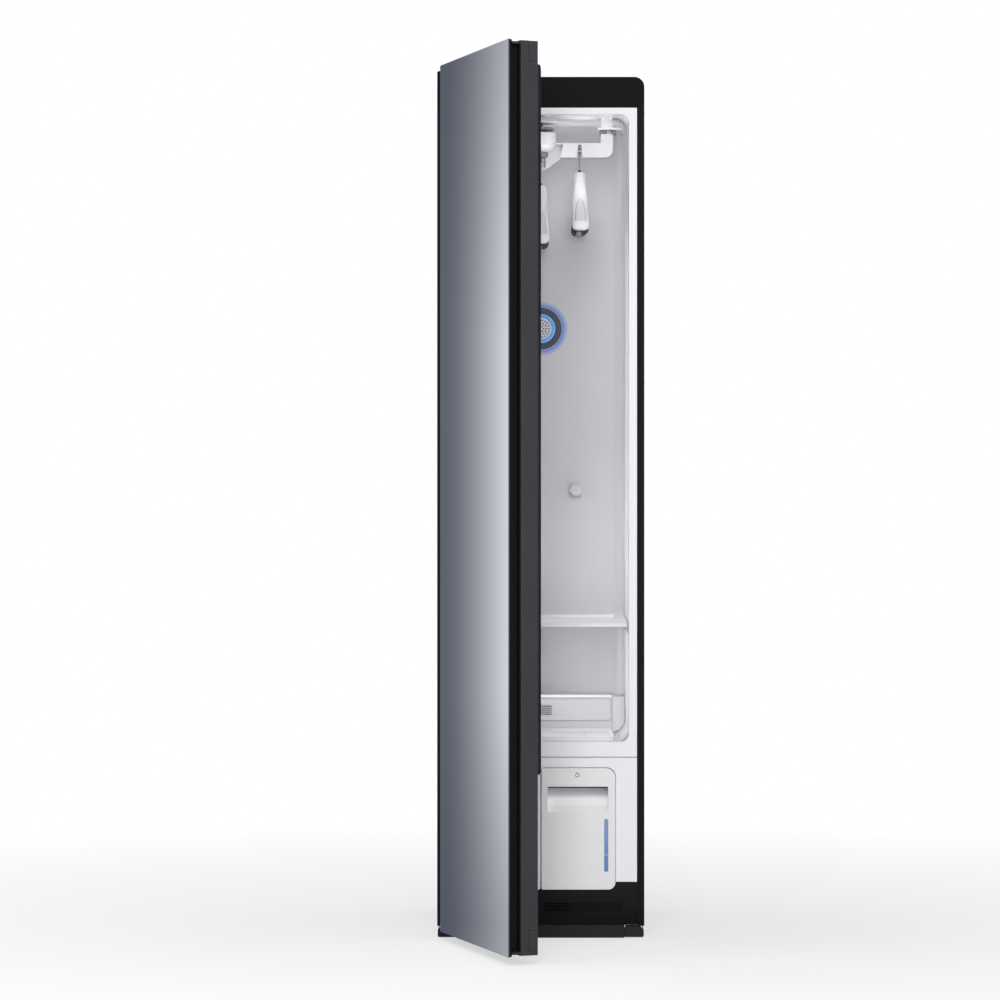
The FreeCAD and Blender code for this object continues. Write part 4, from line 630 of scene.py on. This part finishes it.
def module_finish(graph):
    """Pale module whose side wings are light like the liner beside them, and painted lighter still
    against their shade.
    """
    x, _, _ = graph.split()
    plain = clouded(graph, rgb(200, 201, 203), rgb(204, 205, 208))
    # Painted light: the wings are lightened against their shade, beyond the liner's own tone.
    shade = graph.blend(x.size().ramp(*WING_PAINTED_LIGHT_EDGE), plain, rgb(230, 231, 233))
    return plastic(graph, shade, (0.31, 0.38), SOFT_RELIEF)


def graded(name, axis, span, first, second):
    """Plastic whose colour runs from the first to the second over a span of one axis."""

    def build(graph):
        run = graph.split()["xyz".index(axis)].ramp(*span)
        return plastic(graph, graph.blend(run, first, second), (0.30, 0.37))

    return finished(name, build)


def grip_finish(graph):
    """Door rail: charcoal outside, with painted shade in the finger groove."""
    x, y, _ = graph.split()
    cos, sin = math.cos(DOOR_OPEN), math.sin(DOOR_OPEN)
    depth = (x - HINGE_AXIS[0]) * sin + (y - HINGE_AXIS[1]) * cos
    outside = clouded(graph, rgb(48, 47, 51), rgb(52, 51, 55))
    # Painted shade: the finger groove is near black.
    shade = graph.blend(depth.ramp(*FINGER_GROOVE_PAINTED_SHADE), rgb(8, 8, 9), outside)
    return plastic(graph, shade, (0.46, 0.53), more={"Specular IOR Level": 0.2})


liner_plastic = finished("pale grey liner", liner_finish)
grip_plastic = finished("door rail plastic", grip_finish)
tank_front = finished("tank front plastic", tank_front_finish)
module_plastic = finished("pale module plastic", module_finish)
base_plastic = finished("base panel plastic", base_finish)
# Painted shade: the drip tray darkens towards its back.
tray_painted_shade = graded("drip tray plastic, painted shade", "y", TRAY_PAINTED_SHADE_DEPTHS, rgb(242, 242, 244), rgb(216, 216, 219))
# Painted shade: the front frame darkens towards its top.
frame_painted_shade = graded("front frame plastic, painted shade", "z", FRAME_PAINTED_SHADE_HEIGHTS, rgb(243, 244, 247),
                       rgb(231, 232, 235))

# %% [markdown]
# ## Dressing the parts
# Each carried-over part names a material slot, and every slot has its finish. Some parts have a
# finish of their own, which goes before the slot's.

# %% Finishes of the carried-over parts
finishes = {
    "mirror_glass": mirror,
    "black_plastic": black_plastic,
    "dark_painted_steel": case_paint,
    "galvanised_steel": zinc,
    "white_plastic": white_plastic,
    "grey_plastic": tank_plastic,
    "liner_plastic": liner_plastic,
    "blue_light_guide": ring_light,
    "clear_window": level_window,
    "dark_grille": dark_plastic,
    "bright_steel": bright_steel,
    "cast_aluminium": cast_metal,
    "black_compressor": enamel,
    "black_rubber": black_rubber,
    "grey_hanger": white_plastic,
    "acetal_bush": acetal,
}


def dress(node, material):
    """Gives a carried-over part this material in each of its slots."""
    slots = nodes[node].material_slots
    for slot in slots:
        slot.material = material
    if not slots:
        nodes[node].data.materials.append(material)


own_finish = {
    "right_tank_front": tank_front,
    "left_tank_front": tank_front,
    "hanger_rail": rail_plastic_painted_shade,
    "door_grip_rail": grip_plastic,
    "door_backplate": backplate_plastic,
    "air_module": module_plastic,
    "lint_drawer": module_plastic,
    "floor_tray": tray_painted_shade,
    "front_frame": frame_painted_shade,
    "steam_nozzle": nozzle_plastic,
    "hub_boss": mid_plastic,
    "drive_crank": mid_plastic,
    "door_end_caps": door_plastic,
    "corner_inserts": door_plastic,
    "door_hinge_rail": door_plastic,
    "door_inner_panel": door_plastic,
    "base_front_panel": base_plastic,
    "plinth": plinth_plastic,
}
for subpart in frame["record"]["subparts"]:
    node = subpart["node"]
    dress(node, own_finish.get(node, finishes[subpart["material_slot"]]))
print(f"{len(nodes)} parts dressed")

# %% [markdown]
# ## Surfaces from rings of points
# Every new piece is a skin stretched over rings of points. A ring that slides and swells along
# a path makes a shoulder, one that turns about an axis makes a knob, and one that follows a
# wire makes a hook. The skin is closed, and its faces are flipped if they look inwards, which
# the sign of the enclosed volume tells.

# %% Surface tools
SHARP_ANGLE = math.radians(35)
TIP_ROUNDING = np.radians((30, 55, 75, 87))


def skin(rings, loop=False):
    """Points and faces of a closed skin over rings[n, m, 3], with flat ends unless it loops."""
    count, around = rings.shape[:2]
    step = np.arange(around)
    ahead = (step + 1) % around
    faces = []
    for a in range(count if loop else count - 1):
        b = (a + 1) % count
        quads = [a * around + step, a * around + ahead, b * around + ahead, b * around + step]
        faces += np.stack(quads, 1).tolist()
    if not loop:
        faces += [step[::-1].tolist(), ((count - 1) * around + step).tolist()]
    points = rings.reshape(-1, 3)
    first, second, third = (points[[face[k] for face in faces]] for k in (0, 1, 2))
    fourth = points[[face[-1] for face in faces]]
    volume = np.einsum("ij,ij->i", first, np.cross(second, third) + np.cross(third, fourth)).sum()
    return points, [face[::-1] for face in faces] if volume < 0 else faces


def oval(count=48, power=2.0):
    """Unit circle, or a squarer oval for a higher power: x = |cos|^(2/p), y = |sin|^(2/p)."""
    turn = np.linspace(0, 2 * np.pi, count, endpoint=False)
    across, up = np.cos(turn), np.sin(turn)
    return (np.sign(across) * np.abs(across) ** (2 / power),
            np.sign(up) * np.abs(up) ** (2 / power))


def turned(profile, centre, count=64, loop=False):
    """A turned shape: (radius, height) pairs about an upright axis, hollow if it loops."""
    across, up = oval(count)
    rings = [np.stack([across * radius, up * radius, np.full(count, height)], -1)
             for radius, height in profile]
    return skin(np.array(rings) + centre, loop)


def swept(path, radius, count=20):
    """A round wire along a path in the plane of Y and Z, with a rounded free end."""
    path = np.array(path)
    ahead = np.gradient(path, axis=0)
    ahead /= np.linalg.norm(ahead, axis=1)[:, None]
    side = np.array([1.0, 0.0, 0.0])
    up = np.cross(ahead, side)
    across, rise = oval(count)
    rings = path[:, None] + radius * (across[None, :, None] * side + rise[None, :, None] * up[:, None])
    tip = [path[-1] + ahead[-1] * radius * np.sin(a)
           + radius * np.cos(a) * (across[:, None] * side + rise[:, None] * up[-1])
           for a in TIP_ROUNDING]
    return skin(np.concatenate([rings, tip]))


def piece(name, body, slot, parts):
    """One object from (skin, material) pairs; it rides on a body. The slot argument is not used."""
    materials = []
    points, faces, indices = [], [], []
    total = 0
    for (part_points, part_faces), material in parts:
        if material not in materials:
            materials.append(material)
        points.append(part_points)
        faces += [[total + k for k in face] for face in part_faces]
        indices += [materials.index(material)] * len(part_faces)
        total += len(part_points)
    mesh = bpy.data.meshes.new(name)
    mesh.from_pydata(np.concatenate(points), [], faces)
    for material in materials:
        mesh.materials.append(material)
    mesh.polygons.foreach_set("material_index", indices)
    mesh.polygons.foreach_set("use_smooth", [True] * len(faces))
    mesh.set_sharp_from_angle(angle=SHARP_ANGLE)
    made = bpy.data.objects.new(name, mesh)
    bpy.context.scene.collection.objects.link(made)
    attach(made, body)
    print(f"{name}: {len(faces)} faces")
    return made


# %% [markdown]
# ## Hangers
# A hanger hangs front to back, so from the front it is seen end-on. Each shoulder is an oval
# that slides down a gentle curve and swells towards the tip: with `t` from 0 at the neck to 1
# at the tip, its height falls by `0.8 t + 0.2 t^3` of the whole drop, and its half-width grows
# by `t^0.7`. Over the last tenth the oval closes, like a quarter circle in height and like
# a squarer `(1 - s^3)^(1/3)` in width, which gives a blunt round tip.
# A dark body of the same form, a little slimmer and lower, shows as a crescent below the white
# shell: it is painted shade for the hollow underside of the hanger. A grey grip pad lies on each
# shoulder near the tip. The whole body leans four degrees front-down.

# %% Hangers
HANG_Y = 0.210
NECK_Z = 1.666
SHOULDER_DROP = 0.016
TIP_Z = 1.537
COLLAR_GAP = 0.0004
NECK_R = 0.0135
NECK_HALF_Z = 0.022
NECK_HALF_X = 0.010
TIP_HALF_X = 0.0193
HALF_N = (0.014, 0.011)
SHOULDER_START = 0.004
HALF_SPAN = 0.172
TIP_SHARE = 0.9
HOLLOW_SHADE_DROP = 0.012
HOLLOW_SHADE_TRIM = 0.001
HOLLOW_SHADE_REACH = 0.985
PAD_SPAN = (0.555, 0.920)
PAD_HALF_X = 0.0122
PAD_RISE = 0.0004
PAD_BURIED = 0.0001
PAD_ROOT = 0.0010
ROD_TOP = 1.71805
HOOK_WIRE_R = 0.002
HOOK_R = 0.008
NUB_CENTRE = (-0.004, 0.0335, 1.5265)
NUB_HALF = (0.006, 0.006, 0.0065)
HANGER_LEAN = math.radians(4)
HANGERS = {"left": (-0.086, 0.0), "middle": (0.0, -0.0285), "right": (0.086, 0.0)}
SQUARENESS = 2.5

hanger_white = moulded("white hanger plastic", rgb(250, 251, 252), 0.34, cloud=0.01)
hanger_hollow_shade = moulded("dark blue hanger hollow, painted shade", rgb(44, 45, 68), 0.38)
hanger_pad = moulded("grey hanger pad", rgb(232, 234, 237), 0.55, relief=0.4)


def shoulder_line(t, side, drop=0.0, trim=0.0):
    """Centre, slope and half-sizes of the oval at a share t of the way to the tip."""
    fall = NECK_Z - SHOULDER_DROP - TIP_Z
    y = HANG_Y + side * (SHOULDER_START + (HALF_SPAN - SHOULDER_START) * t)
    z = NECK_Z - SHOULDER_DROP - fall * (0.8 * t + 0.2 * t ** 3) - drop * (0.3 + 0.7 * t)
    slope = -side * np.arctan(fall * (0.8 + 0.6 * t * t) / HALF_SPAN)
    half_x = NECK_HALF_X + (TIP_HALF_X - NECK_HALF_X) * t ** 0.7 - trim
    half_n = HALF_N[0] + (HALF_N[1] - HALF_N[0]) * t - trim
    return y, z, slope, half_x, half_n


def on_shoulder(x, lift, y, z, slope):
    """A point x across the shoulder line and lifted from it, leaning with its slope."""
    return np.stack([x, y - lift * np.sin(slope), z + lift * np.cos(slope)], -1)


def leaned(points):
    """Points turned by the lean about the neck's top."""
    y, z = points[..., 1] - HANG_Y, points[..., 2] - NECK_Z
    cos, sin = math.cos(HANGER_LEAN), math.sin(HANGER_LEAN)
    return np.stack([points[..., 0], HANG_Y + y * cos - z * sin, NECK_Z + y * sin + z * cos], -1)


def shoulder(side, drop=0.0, trim=0.0, reach=1.0):
    """Skin of one shoulder, closed with a rounded tip."""
    into_tip = (1 - TIP_SHARE) * np.sin(np.radians(np.arange(10, 91, 10)))
    t = np.concatenate([np.linspace(0, TIP_SHARE, 26), TIP_SHARE + into_tip])
    line = shoulder_line(t * reach, side, drop, trim)
    y, z, slope, half_x, half_n = (value[:, None] for value in line)
    s = np.clip((t[:, None] - TIP_SHARE) / (1 - TIP_SHARE), 0, 0.999)
    across, up = oval(56, SQUARENESS)
    x = across * half_x * (1 - s ** 3) ** (1 / 3)
    lift = up * half_n * np.sqrt(1 - s ** 2)
    return skin(leaned(on_shoulder(x, lift, y, z, slope)))


def grip_pad(side):
    """Skin of one pad, half an ellipse in plan, that follows the shoulder's top 0.3 mm proud."""
    share = 0.5 - 0.5 * np.cos(np.linspace(0.03, 0.99, 30) * np.pi)
    t = PAD_SPAN[0] + (PAD_SPAN[1] - PAD_SPAN[0]) * share
    rounded = np.minimum(np.sqrt(1 - (1 - share) ** 2),
                         0.85 + 0.15 * np.sqrt(1 - np.clip((share - 0.95) / 0.05, 0, 1) ** 2))
    y, z, slope, half_x, half_n = (value[:, None] for value in shoulder_line(t, side))
    span = np.linspace(-1, 1, 17)
    x = PAD_HALF_X * rounded[:, None] * span
    top = half_n * (1 - np.abs(x / half_x) ** SQUARENESS) ** (1 / SQUARENESS)
    edge = 1 - np.abs(span) ** 8
    above = on_shoulder(x, top + PAD_RISE * edge - PAD_BURIED, y, z, slope)
    below = on_shoulder(x, top - PAD_ROOT, y, z, slope)
    return skin(leaned(np.concatenate([above, below[:, ::-1]], 1)))


def neck_profile():
    """A barrel with well rounded ends: r = R (1 - |h|^4)^(1/4), for h from -1 to 1."""
    shares = np.sin(np.linspace(-0.97, 0.97, 31) * np.pi / 2)
    return [(NECK_R * (1 - abs(h) ** 4) ** 0.25, NECK_HALF_Z * (h - 1)) for h in shares]


def hook_path():
    """Up the stem, then three quarters round the rod."""
    centre = ROD_TOP - (HOOK_R - HOOK_WIRE_R)
    turn = np.radians(np.linspace(-90, 185, 56))
    arc = [(0, HANG_Y + HOOK_R * math.cos(a), centre + HOOK_R * math.sin(a)) for a in turn]
    stem = [(0, HANG_Y, z) for z in np.linspace(NECK_Z + COLLAR_GAP, centre - HOOK_R - 0.001, 12)]
    return stem + arc


def nub():
    """A small rounded lug on the front end of the dark body that paints the hollow's shade."""
    along = np.sin(np.linspace(-0.94, 0.94, 15) * np.pi / 2)[:, None]
    across, up = oval(24, 2.4)
    width = np.sqrt(1 - along ** 2)
    unit = np.stack(np.broadcast_arrays(width * across, along, width * up), -1)
    return skin(leaned(unit * NUB_HALF + NUB_CENTRE))


def moved(shape, x, z):
    """A skin shifted across and up."""
    points, faces = shape
    return points + np.array([x, 0.0, z]), faces


hanger_parts = [(turned(neck_profile(), (0, HANG_Y, NECK_Z)), hanger_white)]
hanger_parts += [(shoulder(side), hanger_white) for side in (-1, 1)]
# The dark body below each shoulder is painted shade for the hollow underside.
hanger_parts += [(shoulder(side, HOLLOW_SHADE_DROP, HOLLOW_SHADE_TRIM, HOLLOW_SHADE_REACH), hanger_hollow_shade) for side in (-1, 1)]
hanger_parts += [(grip_pad(side), hanger_pad) for side in (-1, 1)]
hanger_parts += [(nub(), mid_plastic)]
collar = turned([(0.0001, 0), (0.0028, 0), (0.0031, 0.0004), (0.0026, 0.0042), (0.0022, 0.0047),
                 (0.0001, 0.0047)], (0, HANG_Y, NECK_Z + COLLAR_GAP), count=40)
hook_parts = [(swept(hook_path(), HOOK_WIRE_R), bright_steel), (collar, dark_plastic)]
kinds = (("body", "grey_hanger", hanger_parts), ("hook", "bright_steel", hook_parts))
for place, (sideways, lower) in HANGERS.items():
    for kind, slot, parts in kinds:
        shifted = [(moved(shape, sideways, lower), material) for shape, material in parts]
        made = piece(f"{place}_{kind}_form", f"{place}_hanger", slot, shifted)
        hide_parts(f"{place}_hanger_{kind}")

# %% [markdown]
# ## Small pieces
# A drop-shaped mark is moulded on each tank and a dark lip lines its scoop. A dark strip runs
# round each tank as a painted shadow of the gap round it. A strip fills the joint under the face
# frame, a black filter lies behind the base slots, and a round shroud closes the ceiling ring
# round the crank's shaft. The lint drawer carries a wire screen, and pan-head screws with a cross
# recess hold the back sheet.

# %% Small pieces
TANK_EDGE_X = 0.1605
TANK_TOP_Z = 0.3654
UPPER_CORNER_R = 0.021
LOWER_CORNER_R = 0.016
LOWER_CORNER_Z = 0.1202
SHADOW_GAP_GROW = 0.0005
MARK_PLACE = (0.0785, -0.0050, 0.3513)
MARK_HALF = (0.0062, 0.0046)
LIP_SPAN = (0.0149, 0.1443)
SCREW_R = 0.0036
SCREW_H = 0.0011
SCREW_X = 0.2
RECESS_ARM = 0.0021
RECESS_WIDTH = 0.00055
RECESS_DEPTH = 0.0007
BACK_FACE = 0.5118
WIRE_HALF = 0.0003
WIRE_LAYERS = (0.4560, 0.4566)
WIRE_SPACE = ((-0.146, 0.146), (0.3135, 0.3835))


def bar(x0, x1, y0, y1, z0, z1, soft=0.2, count=24):
    """A closed bar along X whose section is a rounded rectangle."""
    across, up = oval(count, 2 / soft)
    size = np.array([(y1 - y0) / 2, (z1 - z0) / 2])
    section = np.stack([across * size[0] + (y0 + y1) / 2, up * size[1] + (z0 + z1) / 2], -1)
    rings = np.empty((2, count, 3))
    for ring, x in zip(rings, (x0, x1)):
        ring[:, 0] = x
        ring[:, 1:] = section
    return skin(rings)


def front_line(flat, y, half_width, half_depth, loop=False):
    """A fine raised line along (x, z) points on an upright face."""
    ahead = np.gradient(flat, axis=0)
    if loop:
        ahead = np.roll(flat, -1, 0) - np.roll(flat, 1, 0)
    ahead /= np.linalg.norm(ahead, axis=1)[:, None]
    out = np.stack([ahead[:, 1], -ahead[:, 0]], -1) * np.reshape(half_width, (-1, 1))
    across, up = oval(12)
    rings = np.empty((len(flat), 12, 3))
    rings[:, :, 0] = flat[:, :1] + across * out[:, :1]
    rings[:, :, 2] = flat[:, 1:] + across * out[:, 1:]
    rings[:, :, 1] = y + half_depth * up
    return skin(rings, loop)


def drop_mark(x, y, z):
    """A raised line round a drop: x = sin a |sin(a / 2)|^1.6, z = cos a."""
    turn = np.linspace(0, 2 * np.pi, 72, endpoint=False) + 0.001
    flat = np.stack([x + MARK_HALF[0] * np.sin(turn) * np.abs(np.sin(turn / 2)) ** 1.6,
                     z + MARK_HALF[1] * np.cos(turn)], -1)
    return front_line(flat, y, 0.0006, 0.0003, loop=True)


def bay_shadow_gap(side):
    """Dark strip for the painted shadow in the gap round a tank's outer edge, broader where it turns
    the upper corner.
    """
    across, rise = TANK_EDGE_X - UPPER_CORNER_R, TANK_TOP_Z - UPPER_CORNER_R

    def corner(x, z, radius, first, last, count):
        turn = np.radians(np.linspace(first, last, count))
        reach = radius + SHADOW_GAP_GROW
        return np.stack([x + reach * np.cos(turn), z + reach * np.sin(turn)], -1)

    upper = corner(across, rise, UPPER_CORNER_R, 90, 0, 24)
    lower = corner(TANK_EDGE_X - LOWER_CORNER_R, LOWER_CORNER_Z, LOWER_CORNER_R, 0, -80, 20)
    top = np.stack([np.linspace(0.004, across - 0.002, 20), np.full(20, TANK_TOP_Z + SHADOW_GAP_GROW)], -1)
    edge_z = np.linspace(rise - 0.002, 0.122, 30)
    edge = np.stack([np.full(30, TANK_EDGE_X + SHADOW_GAP_GROW), edge_z], -1)
    width = np.concatenate([np.full(20, 0.0004), np.linspace(0.0006, 0.0011, 12),
                            np.linspace(0.0011, 0.0006, 12), np.full(50, 0.0005)])
    flat = np.concatenate([top, upper, edge, lower]) * np.array([side, 1])
    return front_line(flat, -0.0006, width, 0.0005)


def screw_head(x, z):
    """A low domed head whose crossed recess is pressed into its middle."""
    across, up = oval(48)
    radii = SCREW_R * np.concatenate([np.linspace(0.03, 0.97, 18), [1.0, 1.0]])
    dome = SCREW_H * np.sqrt(1 - np.clip(radii / SCREW_R, 0, 0.999) ** 4)
    dome[-1] = -0.0002
    flat_x, flat_z = radii[:, None] * across, radii[:, None] * up
    near = np.minimum(np.abs(flat_x), np.abs(flat_z)) / RECESS_WIDTH
    far = np.maximum(np.abs(flat_x), np.abs(flat_z)) / RECESS_ARM
    recess = np.clip(2 - 2 * near, 0, 1) * np.clip(4 - 4 * far, 0, 1)
    face = BACK_FACE + dome[:, None] - RECESS_DEPTH * recess
    return skin(np.stack([x + flat_x, face, z + flat_z], -1))


def screen_wires():
    """The wires of the lint screen, in two layers that cross."""

    def wire(half_length, z):
        return bar(-half_length, half_length, -WIRE_HALF, WIRE_HALF, z, z + 2 * WIRE_HALF, 1.0, 6)

    (left, right), (front, back) = WIRE_SPACE
    points, faces = wire(right, WIRE_LAYERS[0])
    long_wires = [(points + (0, y, 0), faces) for y in np.linspace(front + 0.0005, back - 0.0005, 34)]
    points, faces = wire((back - front) / 2, WIRE_LAYERS[1])
    points = np.stack([-points[:, 1], (front + back) / 2 + points[:, 0], points[:, 2]], -1)
    cross_wires = [(points + (x, 0, 0), faces) for x in np.linspace(left + 0.002, right - 0.002, 140)]
    return long_wires + cross_wires


for side, place, body in ((1, "right", "right_tank"), (-1, "left", "cabinet")):
    mark = drop_mark(side * MARK_PLACE[0], *MARK_PLACE[1:])
    piece(f"{place}_tank_mark", body, "dark_grille", [(mark, dark_plastic)])
    lip = bar(*sorted(side * x for x in LIP_SPAN), -0.0045, -0.0030, 0.3229, 0.3253)
    piece(f"{place}_scoop_lip", body, "black_rubber", [(lip, black_rubber)])
# Painted shadow: dark strips in the gaps round the tanks.
piece("tank_bay_shadow_gaps", "cabinet", "black_rubber", [(bay_shadow_gap(side), black_rubber) for side in (-1, 1)])
piece("module_lip", "cabinet", "white_plastic",
      [(bar(-0.1585, 0.1585, 0.3082, 0.3104, 0.4995, 0.5050, 0.5), white_plastic)])
piece("frame_joint_strip", "cabinet", "black_rubber",
      [(bar(-0.2062, 0.2062, 0.0000, 0.0016, 0.3878, 0.3892), black_rubber)])
piece("slot_filter", "cabinet", "black_rubber",
      [(bar(-0.068, 0.068, 0.0045, 0.006, 0.050, 0.082, 0.1), backplate_plastic)])
shroud = [(0.0058, 1.7733), (0.0248, 1.7733), (0.0248, 1.7751), (0.0058, 1.7751)]
piece("shaft_shroud", "cabinet", "white_plastic",
      [(turned(shroud, (0, HANG_Y, 0), count=72, loop=True), white_plastic)])
piece("lint_screen", "lint_drawer", "bright_steel", [(wire, bright_steel) for wire in screen_wires()])
screw_places = [(x, z) for x in (-SCREW_X, SCREW_X) for z in np.linspace(0.06, 1.815, 7)]
screw_places += [(x, z) for x in (-SCREW_X / 2, 0.0, SCREW_X / 2) for z in (0.045, 1.83)]
piece("back_screws", "cabinet", "bright_steel",
      [(screw_head(x, z), bright_steel) for x, z in screw_places])
